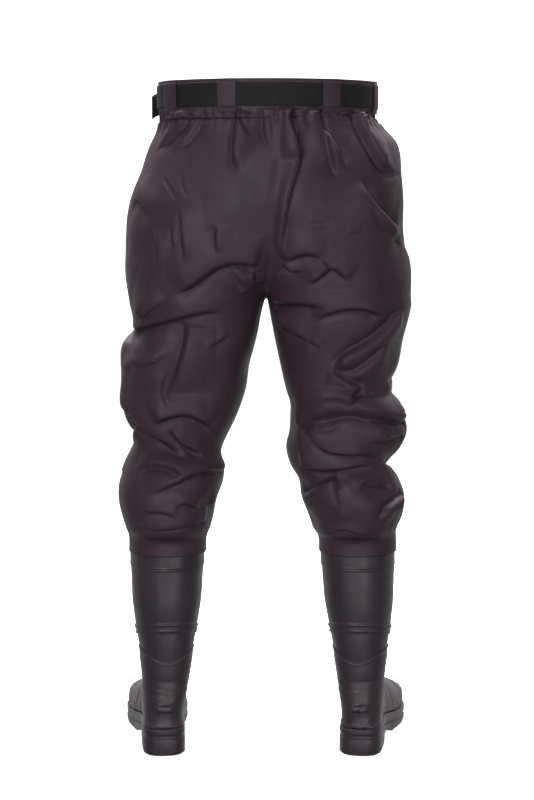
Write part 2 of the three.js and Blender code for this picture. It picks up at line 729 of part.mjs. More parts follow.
// Belt loops: where each stands, in degrees from the back to the right.
const loops = [
  { name: "belt_loop_back_left", at: -21 },
  { name: "belt_loop_back_right", at: 35 },
  { name: "belt_loop_side_left", at: -60 },
  { name: "belt_loop_side_right", at: 80 },
  { name: "belt_loop_front_left", at: -128 },
  { name: "belt_loop_front_right", at: 140 },
];

// A strip stitched down above and below the belt, and bowed out over it.
function loopGeometry(loop) {
  const beltTop = beltBottom + beltWidth;
  const inner = [
    [beltOut, beltBottom - loopTab],
    [beltOut, beltBottom - 1.5],
    [loopOut, beltBottom - fit],
    [loopOut, beltTop + fit],
    [beltOut, beltTop + 1.5],
    [beltOut, waistTop],
  ];
  const outer = [...inner].reverse().map(([offset, z]) => [offset + loopThickness, z]);
  const middle = waistSegments + placeAt(loop.at);
  const local = waistPoint(middle, 0, 0).distanceTo(waistPoint(middle + 1, 0, 0));
  const reach = half(loopWidth) / local;
  return waistSweep([...inner, ...outer], middle - reach, middle + reach);
}

// The belt runs from one end of the buckle round the back to the other.
const frontStart = waistPoint(half(waistSegments) - 0.5, 0, 0);
const frontSegment = frontStart.distanceTo(waistPoint(half(waistSegments) + 0.5, 0, 0));
const buckleReach = half(buckleLength) / frontSegment;
const insertReach = beltInsert / frontSegment;
const beltProfile = (spare) =>
  band(beltOut - spare, beltOut + beltThickness + spare, beltBottom - spare, beltBottom + beltWidth + spare);

function beltGeometry() {
  const start = half(waistSegments) + buckleReach - insertReach;
  return waistSweep(beltProfile(0), start, start + waistSegments - 2 * (buckleReach - insertReach));
}

// The buckle's halves are moulded plates that meet at the front. A belt's end goes into a slot in each.
function buckleHalf(side) {
  const [inner, outer] = [side * half(fit), side * half(buckleLength)];
  const [bottom, top] = [-half(buckleHeight), half(buckleHeight)];
  const roundStart = outer - side * buckleRound;
  const shape = new THREE.Shape();
  shape.moveTo(inner, bottom + 2);
  shape.lineTo(roundStart, bottom);
  shape.quadraticCurveTo(outer, bottom, outer, bottom + buckleRound);
  shape.lineTo(outer, top - buckleRound);
  shape.quadraticCurveTo(outer, top, roundStart, top);
  shape.lineTo(inner, top - 2);
  const bevel = 1;
  const plate = new THREE.ExtrudeGeometry(shape, {
    depth: buckleThickness - 2 * bevel,
    bevelThickness: bevel,
    bevelSize: bevel,
    bevelOffset: -bevel,
    bevelSegments: 1,
    curveSegments: 3,
  });
  plate.rotateX(Math.PI / 2);
  plate.translate(0, half(waistDepth) + beltOut + buckleThickness - bevel, beltBottom + half(beltWidth));
  const reach = buckleReach + 1;
  const slot = waistSweep(beltProfile(fit), half(waistSegments) - reach, half(waistSegments) + reach);
  const uncut = half(buckleLength) - beltInsert - fit;
  const middle = block(new THREE.Vector3(-uncut, 0, 0), new THREE.Vector3(uncut, waistDepth, waistTop));
  const slots = toManifold(slot).subtract(middle);
  return fromManifold(toManifold(solidGeometry(trianglesOf(plate))).subtract(slots));
}

// The belt's spare end leaves the buckle over the front loop, and droops and stands off at the left side.
function tailGeometry() {
  const out = loopOut + loopThickness + fit;
  const to = waistSegments + placeAt(-93);
  const from = half(waistSegments) + buckleReach + fit / frontSegment;
  const profile = band(out, out + beltThickness, beltBottom, beltBottom + beltWidth);
  return waistSweep(profile, from, to, (share) => {
    const late = Math.max(0, (share - 0.55) / 0.45) ** 2;
    return { out: 5 * late, up: -tailDrop * (0.25 * share + 0.75 * late) };
  });
}

// Materials
const nylon = { color: 0x43393c, roughness: 0.55, metalness: 0 };
const pvc = { color: 0x2d2a2c, roughness: 0.42, metalness: 0 };
const webbing = { color: 0x1b1a1c, roughness: 0.8, metalness: 0 };
const moulding = { color: 0x151416, roughness: 0.45, metalness: 0 };
const lining = { color: 0x6c6a68, roughness: 0.9, metalness: 0 };

function piece(name, geometry, finish) {
  const mesh = new THREE.Mesh(geometry, new THREE.MeshStandardMaterial(finish));
  mesh.name = name;
  return mesh;
}

const waders = new THREE.Group();
waders.position.set(middleX, middleY, 0);
const [outsole, insole] = [outsoleGeometry(), insoleGeometry()];
for (const foot of feet) {
  const boot = new THREE.Group();
  boot.add(piece(`${foot.name}_outsole`, standGeometry(foot, outsole), pvc));
  boot.add(piece(`${foot.name}_insole`, standGeometry(foot, insole), lining));
  boot.add(piece(`${foot.name}_boot_upper`, standGeometry(foot, upperGeometry(foot)), pvc));
  waders.add(boot, piece(`${foot.name}_trouser_leg`, trouserGeometry(foot), nylon));
}
const bandProfile = band(-waistbandOut, waistbandOut, waistSeam + fit, waistTop);
waders.add(piece("waistband", waistSweep(bandProfile, 0, waistSegments), nylon));
waders.add(piece("belt", beltGeometry(), webbing));
waders.add(piece("belt_tail", tailGeometry(), webbing));
waders.add(piece("buckle_socket", buckleHalf(1), moulding));
waders.add(piece("buckle_plug", buckleHalf(-1), moulding));
for (const loop of loops) waders.add(piece(loop.name, loopGeometry(loop), nylon));

export default waders;
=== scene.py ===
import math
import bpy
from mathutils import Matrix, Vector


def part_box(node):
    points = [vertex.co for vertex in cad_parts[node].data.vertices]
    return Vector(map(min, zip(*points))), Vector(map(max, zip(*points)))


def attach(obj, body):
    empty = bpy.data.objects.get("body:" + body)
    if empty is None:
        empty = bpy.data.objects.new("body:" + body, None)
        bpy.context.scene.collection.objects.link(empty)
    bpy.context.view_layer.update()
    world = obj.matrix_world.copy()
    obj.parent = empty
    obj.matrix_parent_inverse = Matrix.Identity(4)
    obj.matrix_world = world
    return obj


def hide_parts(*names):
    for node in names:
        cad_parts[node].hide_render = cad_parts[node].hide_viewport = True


bl_info = {
    "name": "Waist wader",
    "version": (1, 0, 0),
    "blender": (4, 5, 0),
    "location": "View3D > Sidebar > Wader",
    "description": "Dresses the packed waist wader: welded trousers, belt, loops, buckle and moulded boots",
    "category": "Object",
}

import bmesh
import bpy
import numpy as np
from mathutils import Vector, noise
from mathutils.bvhtree import BVHTree

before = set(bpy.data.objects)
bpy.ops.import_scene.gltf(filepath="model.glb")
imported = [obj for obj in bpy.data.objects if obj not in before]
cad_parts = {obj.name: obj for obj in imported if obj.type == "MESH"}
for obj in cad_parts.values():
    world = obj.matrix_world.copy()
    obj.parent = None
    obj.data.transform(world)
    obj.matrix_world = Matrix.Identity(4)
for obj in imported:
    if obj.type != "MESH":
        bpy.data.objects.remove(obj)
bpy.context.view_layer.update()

MM = 0.001
MIDDLE = Vector((0.004, -0.045, 0.0))
WAIST_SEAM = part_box("waistband")[0].z
WAIST_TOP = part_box("waistband")[1].z
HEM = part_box("left_trouser_leg")[0].z
BOOT_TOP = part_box("left_boot_upper")[1].z
BELT_LOW, BELT_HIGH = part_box("belt")[0].z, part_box("belt")[1].z
CROTCH = 0.779
WAIST_HALF = (0.179, 0.118)

# The camera stands where the photograph was taken from, and its focus is in the photograph's pixels.
CAMERA_PLACE = (0.004, -3.134, 0.930)
CAMERA_TILT = 6.15
FOCUS = 1841
PHOTO_MIDDLE = (267, 400)


# Meshes


def mesh_of(*nodes):
    """A bmesh of one or more CAD nodes with their loose triangles joined."""
    bm = bmesh.new()
    for node in nodes:
        bm.from_mesh(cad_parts[node].data)
    bmesh.ops.remove_doubles(bm, verts=bm.verts, dist=2e-5)
    return bm


def outer_sheet(bm, seeds, sharpest=70):
    """Keeps the faces reached from the seeds without crossing an edge sharper than so many degrees, which
    leaves a wall's outer side."""
    limit = math.radians(sharpest)
    kept, front = set(seeds), list(seeds)
    while front:
        for edge in front.pop().edges:
            if edge.calc_face_angle(math.pi) < limit:
                fresh = [f for f in edge.link_faces if f not in kept]
                kept.update(fresh)
                front.extend(fresh)
    bmesh.ops.delete(bm, geom=[f for f in bm.faces if f not in kept], context="FACES")


def extend_rim(bm, test, step):
    """Pulls the open edges that pass the test out by a step, so that a later cut leaves a clean rim."""
    rim = [e for e in bm.edges if e.is_boundary and all(test(v.co) for v in e.verts)]
    made = bmesh.ops.extrude_edge_only(bm, edges=rim)["geom"]
    bmesh.ops.translate(bm, verts=[g for g in made if isinstance(g, bmesh.types.BMVert)], vec=step)


def close_holes(bm):
    bmesh.ops.holes_fill(bm, edges=[e for e in bm.edges if e.is_boundary], sides=0)
    bmesh.ops.recalc_face_normals(bm, faces=bm.faces)


def object_of(bm, name, smooth=True):
    data = bpy.data.meshes.new(name)
    bm.to_mesh(data)
    bm.free()
    made = bpy.data.objects.new(name, data)
    bpy.context.scene.collection.objects.link(made)
    if smooth:
        data.shade_smooth()
    return made


def rounded(bm, cuts=3):
    """Bends a net's flat faces into a smooth surface through its own points."""
    bmesh.ops.join_triangles(bm, faces=bm.faces, angle_face_threshold=1.2, angle_shape_threshold=2.5)
    bmesh.ops.subdivide_edges(bm, edges=bm.edges, cuts=cuts, smooth=0.45, use_grid_fill=True)


def relax(bm, passes, test=lambda co: True):
    """Evens out the points that pass the test."""
    chosen = [v for v in bm.verts if test(v.co)]
    axes = {"use_axis_x": True, "use_axis_y": True, "use_axis_z": True}
    for _ in range(passes):
        bmesh.ops.smooth_vert(bm, verts=chosen, factor=0.5, **axes)


def even_net(bm, cell, passes):
    """A closed form's surface again as an even net of cells, softened a little."""
    made = object_of(bm, "net")
    net = made.modifiers.new("net", "REMESH")
    net.mode = "VOXEL"
    net.voxel_size = cell
    graph = bpy.context.evaluated_depsgraph_get()
    fresh = bmesh.new()
    fresh.from_object(made, graph)
    data = made.data
    bpy.data.objects.remove(made)
    bpy.data.meshes.remove(data)
    relax(fresh, passes)
    return fresh


def cut(bm, point, normal, drop=True):
    """Cuts along a plane, and drops the side that the normal points to unless told to keep it."""
    everything = bm.verts[:] + bm.edges[:] + bm.faces[:]
    bmesh.ops.bisect_plane(bm, geom=everything, dist=1e-6, plane_co=point, plane_no=normal, clear_outer=drop)


def wall(made, thickness, spare_inside=1.0):
    """Gives an open sheet its thickness inwards, with a coarser net on the side that isn't seen."""
    inside = made.vertex_groups.new(name="inside")
    solid = made.modifiers.new("wall", "SOLIDIFY")
    solid.thickness = thickness
    solid.offset = -1.0
    solid.shell_vertex_group = inside.name
    if spare_inside < 1:
        fewer = made.modifiers.new("inside net", "DECIMATE")
        fewer.ratio = spare_inside
        fewer.vertex_group = inside.name
    return made


def dressed(made, material, slot, *replaced):
    made.data.materials.clear()
    made.data.materials.append(material)
    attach(made, "root")
    if replaced:
        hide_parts(*replaced)
    return made


# Points as arrays


def points_of(data):
    co = np.empty(len(data.vertices) * 3, "f")
    data.vertices.foreach_get("co", co)
    return co.reshape(-1, 3).astype("d")


def normals_of(data):
    no = np.empty(len(data.vertices) * 3, "f")
    data.vertex_normals.foreach_get("vector", no)
    return no.reshape(-1, 3).astype("d")


def set_points(data, co):
    data.vertices.foreach_set("co", co.astype("f").ravel())
    data.update()


def ease(value, low, high):
    """0 below low, 1 above high and smooth between them."""
    share = np.clip((value - low) / (high - low), 0, 1)
    return share * share * (3 - 2 * share)


def unit(rows):
    return rows / np.maximum(np.linalg.norm(rows, axis=1, keepdims=True), 1e-9)


def smooth_line(points, steps=8):
    """A curve through given points, as many short steps."""
    points = [np.array(p, "d") for p in points]
    points = [2 * points[0] - points[1], *points, 2 * points[-1] - points[-2]]
    line = []
    for a, b, c, d in zip(points, points[1:], points[2:], points[3:]):
        for i in range(steps):
            t = i / steps
            square, cube = 2 * a - 5 * b + 4 * c - d, 3 * b - a - 3 * c + d
            line.append(0.5 * (2 * b + (c - a) * t + square * t**2 + cube * t**3))
    return np.array([*line, points[-2]])


# Folds. Each is a crease drawn on the cloth as it is seen from one side, with the cloth swelling beside it.

# How much deeper the creases are pressed than their tables say, so that they show in soft light.
FOLD_STRENGTH = 1.2


class Fold:
    """A crease through points, its depth and the width of its steep side in millimetres, the side that swells
    (1 is left of the way it runs, -1 right, 0 both), the shares of its length over which its ends fade, and
    how many widths its swelling runs on for."""

    def __init__(self, depth, width, swell, points, fade=(0.3, 0.3), soft=2.4):
        self.depth = FOLD_STRENGTH * depth * MM
        self.width = width * MM
        self.swell = swell
        self.points = points
        self.fade = fade
        self.soft = soft

    def shape(self, s):
        """How far the cloth stands out at a distance s from the crease, positive on its left."""
        if self.swell == 0:
            lips = 0.45 * np.exp(-(((np.abs(s) - self.width) / self.width) ** 2))
            return self.depth * (lips - np.exp(-np.abs(s) / (0.8 * self.width)))
        s = s * self.swell
        steep = self.depth * (1.75 * np.sin(0.5 * math.pi * np.clip(s / self.width, 0, 1)) - 0.85)
        past = 0.9 * self.depth * np.exp(-(((s - self.width) / (self.soft * self.width)) ** 2))
        below = -0.85 * self.depth * np.exp(s / (0.9 * self.width))
        return np.where(s < 0, below, np.where(s < self.width, steep, past))


def from_camera(u, v):
    """The place of the camera, and the way it looks through a point of the 534 by 800 photograph."""
    right, up = (u - PHOTO_MIDDLE[0]) / FOCUS, (PHOTO_MIDDLE[1] - v) / FOCUS
    tilt = math.radians(CAMERA_TILT)
    ahead = Vector((0, math.cos(tilt), -math.sin(tilt)))
    over = Vector((0, math.sin(tilt), math.cos(tilt)))
    return Vector(CAMERA_PLACE), (ahead + over * up + Vector((right, 0, 0))).normalized()


# How far off the looks from the front and the sides start, in metres.
FAR = 3


def from_front(x, z):
    return Vector((x * MM, FAR, z * MM)), Vector((0, -1, 0))


def from_left(y, z):
    return Vector((-FAR, y * MM, z * MM)), Vector((1, 0, 0))


def from_right(y, z):
    return Vector((FAR, y * MM, z * MM)), Vector((-1, 0, 0))


def press_folds(co, normals, tree, folds, look):
    """Adds each fold's shape to the points, along their normals."""
    lift = np.zeros(len(co))
    for fold in folds:
        places, outward = [], []
        for u, v in smooth_line(fold.points):
            hit, normal, _, _ = tree.ray_cast(*look(u, v))
            if hit:
                places.append(hit)
                outward.append(normal)
        if len(places) < 3:
            raise ValueError(f"a fold from {fold.points[0]} doesn't reach the cloth")
        line, outward = np.array(places, "d"), unit(np.array(outward, "d"))
        way = unit(np.gradient(line, axis=0))
        left = unit(np.cross(outward, way))
        length = np.concatenate([[0], np.cumsum(np.linalg.norm(np.diff(line, axis=0), axis=1))])
        reach = 4 * fold.width
        low, high = line.min(0) - reach, line.max(0) + reach
        near = np.nonzero(((co > low) & (co < high)).all(1))[0]
        if not len(near):
            continue
        gap = co[near, None, :] - line[None, :, :]
        nearest = np.argmin((gap**2).sum(2), axis=1)
        gap = gap[np.arange(len(near)), nearest]
        facing = (normals[near] * outward[nearest]).sum(1) > 0
        side = (gap * left[nearest]).sum(1)
        past = (gap * way[nearest]).sum(1)
        share = np.clip((length[nearest] + past) / length[-1], -1, 2)
        start, end = fold.fade
        fade = ease(share, -0.02, start) * (1 - ease(share, 1 - end, 1.02))
        lift[near] += np.where(facing, fold.shape(side) * fade, 0)
    return lift


# Shader maths


class Value:
    """One output of a node; arithmetic on it adds the Math nodes."""

    def __init__(self, finish, socket):
        self.finish = finish
        self.socket = socket

    def maths(self, operation, *values):
        return self.finish.node("ShaderNodeMath", dict(enumerate(values)), operation=operation)

    def __add__(self, other):
        return self.maths("ADD", self, other)

    def __mul__(self, other):
        return self.maths("MULTIPLY", self, other)

    __radd__ = __add__
    __rmul__ = __mul__


class Nodes:
    """A node tree whose nodes are added one by one."""

    def __init__(self, tree):
        self.tree = tree

    def feed(self, socket, value):
        if isinstance(value, Value):
            self.tree.links.new(value.socket, socket)
        else:
            socket.default_value = value

    def node(self, kind, inputs=None, out=0, **settings):
        made = self.tree.nodes.new(kind)
        for key, value in settings.items():
            setattr(made, key, value)
        for key, value in (inputs or {}).items():
            self.feed(made.inputs[key], value)
        return Value(self, made.outputs[out])

    def ramp(self, value, low, high, to_low=0.0, to_high=1.0):
        inputs = {0: value, 1: low, 2: high, 3: to_low, 4: to_high}
        return self.node("ShaderNodeMapRange", inputs, interpolation_type="SMOOTHSTEP")

    def axes(self, vector):
        return [self.node("ShaderNodeSeparateXYZ", {0: vector}, out=i) for i in range(3)]


class Finish(Nodes):
    """A material and what feeds its shader."""

    def __init__(self, name, **constants):
        self.material = bpy.data.materials.new(name)
        self.material.use_nodes = True
        super().__init__(self.material.node_tree)
        self.shader = self.tree.nodes["Principled BSDF"]
        for key, value in constants.items():
            self.shader.inputs[key.replace("_", " ")].default_value = value

    def into(self, socket, value):
        self.feed(self.shader.inputs[socket], value)

    def place(self):
        return self.node("ShaderNodeTexCoord", out="Object")

    def grain(self, vector, scale, detail=3.0, rough=0.55):
        inputs = {"Vector": vector, "Scale": scale, "Detail": detail, "Roughness": rough}
        return self.node("ShaderNodeTexNoise", inputs, out=0)

    def stretched(self, vector, scale):
        return self.node("ShaderNodeMapping", {"Vector": vector, "Scale": scale})

    def blend(self, share, dark, light):
        return self.node("ShaderNodeMix", {0: share, 6: dark, 7: light}, out=2, data_type="RGBA")

    def wave(self, value):
        return self.node("ShaderNodeMath", {0: value}, operation="SINE")

    def bump(self, height, distance, strength=1.0, below=None):
        inputs = {"Height": height, "Distance": distance, "Strength": strength}
        if below:
            inputs["Normal"] = below
        return self.node("ShaderNodeBump", inputs)


def colour(r, g, b):
    """A display colour of 0 to 255 as the renderer's linear colour."""

    def linear(c):
        c /= 255
        return c / 12.92 if c <= 0.04045 else ((c + 0.055) / 1.055) ** 2.4

    return (linear(r), linear(g), linear(b), 1.0)


def darker(light, share):
    return [c * share for c in light[:3]] + [1.0]


# How fast the webbing's ribs follow each other, in radians for each metre across it.
WEBBING_RIBS = 3200.0


def fabric_finish(settings):
    finish = Finish("coated_trouser_fabric", Specular_IOR_Level=0.3)
    place = finish.place()
    cloud = finish.grain(place, 9.0, 4.0)
    light = settings.fabric_colour
    dark = darker(light, 0.8)
    finish.into("Base Color", finish.blend(finish.ramp(cloud, 0.3, 0.7), dark, list(light)))
    finish.into("Roughness", finish.ramp(finish.grain(place, 30.0), 0.3, 0.7, 0.46, 0.56))
    weave = finish.grain(finish.stretched(place, (1.0, 1.0, 0.6)), 900.0, 2.0)
    finish.into("Normal", finish.bump(weave, 0.0003, 0.35))
    return finish.material


def boot_finish(settings):
    finish = Finish("moulded_boot_pvc", Specular_IOR_Level=0.5)
    place = finish.place()
    light = settings.boot_colour
    cloud = finish.ramp(finish.grain(place, 14.0), 0.3, 0.7)
    finish.into("Base Color", finish.blend(cloud, darker(light, 0.85), list(light)))
    finish.into("Roughness", finish.ramp(finish.grain(place, 40.0), 0.3, 0.7, 0.36, 0.46))
    finish.into("Normal", finish.bump(finish.grain(place, 1400.0, 2.0), 0.0002, 0.3))
    return finish.material


def webbing_finish(settings):
    finish = Finish("woven_belt_webbing", Roughness=0.7)
    height = finish.axes(finish.place())[2]
    light = settings.belt_colour
    ribs = finish.wave(height * WEBBING_RIBS)
    # The base colour is darker where the ribs' bump is low: painted shade in the grooves between the ribs.
    finish.into("Base Color", finish.blend(finish.ramp(ribs, -1.0, 1.0), darker(light, 0.7), list(light)))
    finish.into("Normal", finish.bump(ribs, 0.0003, 0.5))
    return finish.material


def plastic_finish():
    finish = Finish("buckle_plastic", Specular_IOR_Level=0.5)
    place = finish.place()
    finish.into(
        "Base Color", finish.blend(finish.grain(place, 60.0), colour(26, 25, 27), colour(34, 32, 35))
    )
    finish.into("Roughness", finish.ramp(finish.grain(place, 120.0), 0.3, 0.7, 0.38, 0.5))
    finish.into("Normal", finish.bump(finish.grain(place, 2500.0), 0.0002, 0.3))
    return finish.material


def lining_finish():
    finish = Finish("boot_lining", Roughness=0.85)
    place = finish.place()
    finish.into(
        "Base Color", finish.blend(finish.grain(place, 200.0), colour(52, 50, 52), colour(74, 71, 73))
    )
    finish.into("Normal", finish.bump(finish.grain(place, 1500.0), 0.0004, 0.5))
    return finish.material


# Trousers

FABRIC_THICKNESS = 1 * MM
# How many of its triangles the side of a wall that isn't seen keeps.
HIDDEN_SHARE = 0.6
# How far below the waistband the casing is stitched down, and the stitch line's depth and half width.
CASING_BELOW, STITCH_DEPTH, STITCH_WIDTH = 7 * MM, 1.1 * MM, 1.6 * MM
# The weld over the boot top: the height of its upper edge, and how far and how often that edge waves.
WELD_TOP, WELD_SAG, WELD_WAVES = 387 * MM, 2.5 * MM, 40
# The cloth's slow unevenness: how far it stands out, and over what distance it changes, in metres. The last
# one is folded at zero, which leaves soft creases between its hills.
UNEVEN_WIDE, UNEVEN_FINE, CREASED = (2.0 * MM, 0.085), (0.5 * MM, 0.03), (5.0 * MM, 0.1)

# The rise seam up the back in millimetres: heights, and how far right of the middle line it runs.
SEAM_LINE = ((CROTCH / MM, 0), (800, 12), (838, 21), (885, 26), (925, 30), (965, 40), (1003, 51), (1035, 50),
             (1075, 45))

# Folds of the back as the photograph shows them, in its pixels, from the waist down.
WAIST_FOLDS = (
    Fold(6, 9, -1, ((190, 112), (186, 125), (173, 138), (158, 152)), (0.05, 0.4)),
    Fold(4, 10, -1, ((203, 112), (199, 128), (188, 142), (172, 156)), (0.05, 0.5)),
    Fold(3, 7, 1, ((169, 112), (163, 124), (161, 142)), (0.05, 0.5)),
    Fold(8, 9, 1, ((236, 110), (233, 130), (231, 150), (232, 163), (241, 174)), (0.05, 0.35)),
    Fold(3, 6, -1, ((243, 106), (242, 118), (247, 130), (256, 141)), (0.05, 0.6)),
    Fold(4, 6, 1, ((261, 106), (262, 122), (264, 138), (271, 154)), (0.05, 0.6)),
    Fold(3, 5, 0, ((276, 106), (276, 120), (279, 132)), (0.05, 0.6)),
    Fold(13, 9, -1, ((294, 106), (294, 122), (298, 138), (303, 158)), (0.05, 0.2)),
    Fold(
        5, 7, -1, ((304, 152), (300, 171), (294, 189), (290, 206), (286, 234), (284, 262)), (0.05, 0.3), 1.6
    ),
    Fold(4, 6, 1, ((303, 106), (303, 122), (308, 134)), (0.05, 0.6)),
    Fold(9, 11, -1, ((321, 108), (324, 124), (333, 138), (343, 153), (346, 168)), (0.05, 0.3)),
    Fold(5, 9, 1, ((321, 122), (327, 150), (336, 178)), (0.3, 0.25)),
    Fold(10, 11, 1, ((353, 110), (361, 130), (374, 157), (382, 168), (394, 172)), (0.05, 0.3)),
    Fold(3, 7, 0, ((383, 180), (391, 177), (400, 173)), (0.3, 0.3)),
    Fold(9, 14, -1, ((361, 176), (374, 198), (386, 214), (397, 226)), (0.25, 0.2)),
    Fold(4, 9, 1, ((367, 206), (381, 228), (400, 244)), (0.3, 0.1)),
)
SEAT_FOLDS = (
    Fold(2.4, 5, 0, ((181, 172), (182, 186), (187, 198))),
    Fold(1.8, 5, 0, ((162, 176), (169, 187), (176, 201))),
    Fold(5, 10, 1, ((135, 200), (143, 208), (150, 223)), (0.1, 0.4)),
    Fold(4, 6, 1, ((179, 207), (180, 232), (184, 261))),
    Fold(3, 5, 1, ((171, 224), (171, 236), (172, 250))),
    Fold(3.5, 6, 1, ((215, 224), (214, 240), (216, 254))),
    Fold(3, 6, 1, ((152, 229), (153, 240), (156, 253), (154, 272))),
    Fold(1.6, 5, 1, ((308, 224), (318, 223), (330, 225))),
    Fold(1.6, 5, 1, ((347, 235), (354, 234), (361, 236))),
    Fold(9, 13, 1, ((176, 296), (193, 289), (207, 279), (219, 271), (233, 267), (257, 268)), (0.2, 0.1)),
    Fold(3, 6, 1, ((233, 272), (238, 281), (244, 289)), (0.1, 0.5)),
    Fold(3, 6, -1, ((255, 271), (255, 283), (253, 292)), (0.1, 0.5)),
    Fold(7, 11, 1, ((285, 264), (297, 259), (309, 257), (326, 260)), (0.2, 0.4)),
    Fold(5, 8, 1, ((282, 266), (291, 273), (303, 272)), (0.1, 0.4)),
    Fold(6, 9, 1, ((310, 286), (321, 279), (333, 268)), (0.4, 0.15)),
    Fold(5, 8, 1, ((332, 269), (339, 275), (347, 283)), (0.15, 0.4)),
)
LEFT_FOLDS = (
    Fold(8, 11, 1, ((134, 333), (158, 327), (184, 320), (206, 315), (224, 315)), (0.1, 0.3)),
    Fold(6, 9, 1, ((129, 302), (137, 309), (146, 320)), (0.2, 0.2)),
    Fold(5, 9, -1, ((168, 300), (157, 309), (146, 320)), (0.4, 0.2)),
    Fold(7, 12, 1, ((184, 323), (182, 342), (178, 358), (172, 376), (161, 402)), (0.05, 0.4)),
    Fold(3, 7, -1, ((166, 372), (164, 392), (171, 408))),
    Fold(3, 5, 1, ((207, 350), (219, 343), (231, 336))),
    Fold(4, 8, 1, ((124, 367), (140, 367), (156, 364), (171, 352)), (0.2, 0.3), 1.3),
    Fold(9, 15, 1, ((122, 406), (133, 421), (150, 436), (170, 450), (190, 462)), (0.05, 0.3)),
    Fold(8, 10, 1, ((157, 425), (167, 421), (184, 418), (199, 423), (212, 433)), (0.15, 0.3)),
    Fold(7, 8, 1, ((168, 428), (178, 442), (190, 451), (203, 458)), (0.2, 0.3)),
    Fold(6, 10, 1, ((136, 472), (152, 468), (168, 470), (182, 479)), (0.3, 0.15)),
    Fold(7, 9, 1, ((146, 498), (160, 493), (179, 485), (200, 475), (224, 472)), (0.3, 0.1)),
    Fold(5, 6, 1, ((175, 510), (184, 505), (197, 511))),
    Fold(6, 7, 1, ((206, 508), (213, 504), (218, 495)), (0.3, 0.05)),
    Fold(3, 7, 1, ((140, 516), (158, 514), (178, 519))),
    Fold(3, 6, 1, ((140, 527), (156, 531), (180, 528), (205, 522)), (0.1, 0.1)),
)
RIGHT_FOLDS = (
    Fold(8, 14, 1, ((274, 306), (292, 307), (310, 308), (330, 309)), (0.1, 0.3)),
    Fold(6, 9, 1, ((277, 325), (294, 335), (308, 343)), (0.1, 0.3)),
    Fold(8, 9, 1, ((316, 323), (327, 317), (346, 312), (362, 312), (380, 318)), (0.25, 0.2)),
    Fold(2.5, 5, 1, ((308, 342), (314, 346), (320, 348))),
    Fold(9, 10, -1, ((330, 368), (343, 354), (363, 343), (383, 329), (404, 307)), (0.15, 0.2)),
    Fold(6, 10, -1, ((335, 368), (351, 371), (369, 359), (387, 341)), (0.3, 0.3)),
    Fold(7, 9, -1, ((331, 368), (346, 377), (362, 386)), (0.2, 0.15)),
    Fold(7, 12, 1, ((362, 386), (355, 397), (347, 409)), (0.2, 0.2)),
    Fold(7, 14, 1, ((299, 432), (316, 421), (332, 414), (349, 409)), (0.1, 0.3)),
    Fold(10, 12, 1, ((312, 425), (332, 419), (349, 416), (376, 420), (405, 423)), (0.2, 0.05)),
    Fold(3, 5, 1, ((318, 434), (333, 432), (340, 424))),
    Fold(8, 11, 1, ((304, 434), (319, 450), (338, 456), (374, 457)), (0.1, 0.3)),
    Fold(5, 9, 1, ((366, 445), (384, 443), (404, 436)), (0.4, 0.1)),
    Fold(7, 9, 1, ((300, 468), (320, 473), (338, 472), (371, 466)), (0.1, 0.3)),
    Fold(7, 11, -1, ((304, 492), (320, 482), (338, 475)), (0.2, 0.1)),
    Fold(5, 10, -1, ((337, 475), (340, 496), (345, 516)), (0.1, 0.4)),
    Fold(6, 9, 1, ((357, 492), (368, 484), (386, 485), (392, 496)), (0.3, 0.3)),
    Fold(7, 9, -1, ((377, 521), (386, 508), (402, 492)), (0.3, 0.1)),
    Fold(3, 4, 1, ((318, 531), (332, 532), (347, 531), (362, 537))),
    Fold(3, 4, 1, ((317, 537), (334, 538), (349, 541))),
)
# Folds of the front in millimetres, as it is seen by someone who faces it: across and up.
FRONT_FOLDS = (
    Fold(4, 9, 1, ((-60, 1062), (-66, 1035), (-86, 1005), (-112, 980)), (0.05, 0.4)),
    Fold(4, 9, -1, ((70, 1062), (76, 1035), (98, 1005), (126, 985)), (0.05, 0.4)),
    Fold(3, 8, 1, ((-20, 1060), (-24, 1020), (-30, 985)), (0.05, 0.5)),
    Fold(3, 8, -1, ((34, 1060), (38, 1022), (40, 990)), (0.05, 0.5)),
    Fold(3.5, 11, -1, ((-12, 806), (-48, 822), (-92, 858), (-128, 905)), (0.1, 0.5)),
    Fold(3.5, 11, 1, ((16, 802), (58, 812), (112, 834), (170, 866)), (0.1, 0.5)),
    Fold(2.5, 10, -1, ((-18, 776), (-62, 774), (-118, 788)), (0.15, 0.5)),
    Fold(2.5, 10, 1, ((28, 772), (70, 782), (118, 812)), (0.15, 0.5)),
    Fold(3, 9, 1, ((-196, 716), (-150, 690), (-96, 682))),
    Fold(2.5, 9, -1, ((196, 690), (160, 676), (112, 668))),
    Fold(3.5, 12, -1, ((-92, 652), (-138, 622), (-200, 604))),
    Fold(4, 12, 1, ((96, 628), (140, 622), (208, 648))),
    Fold(3, 8, 1, ((-176, 640), (-150, 600), (-116, 570))),
    Fold(4, 11, -1, ((-90, 548), (-128, 556), (-178, 582), (-208, 598)), (0.1, 0.3)),
    Fold(3.5, 11, 1, ((84, 578), (120, 552), (176, 540), (210, 546)), (0.1, 0.3)),
    Fold(3, 8, -1, ((186, 612), (160, 586), (130, 562))),
    Fold(3.5, 9, 1, ((-210, 516), (-176, 500), (-126, 512)), (0.2, 0.4)),
    Fold(4, 10, -1, ((214, 494), (176, 478), (116, 488)), (0.2, 0.4)),
    Fold(3, 10, -1, ((-98, 452), (-130, 430), (-186, 428)), (0.2, 0.4)),
    Fold(3.5, 9, 1, ((108, 430), (146, 434), (192, 450)), (0.2, 0.4)),
    Fold(2, 5, 1, ((-196, 400), (-160, 394), (-126, 398))),
    Fold(2, 5, 1, ((126, 398), (158, 392), (190, 400))),
)
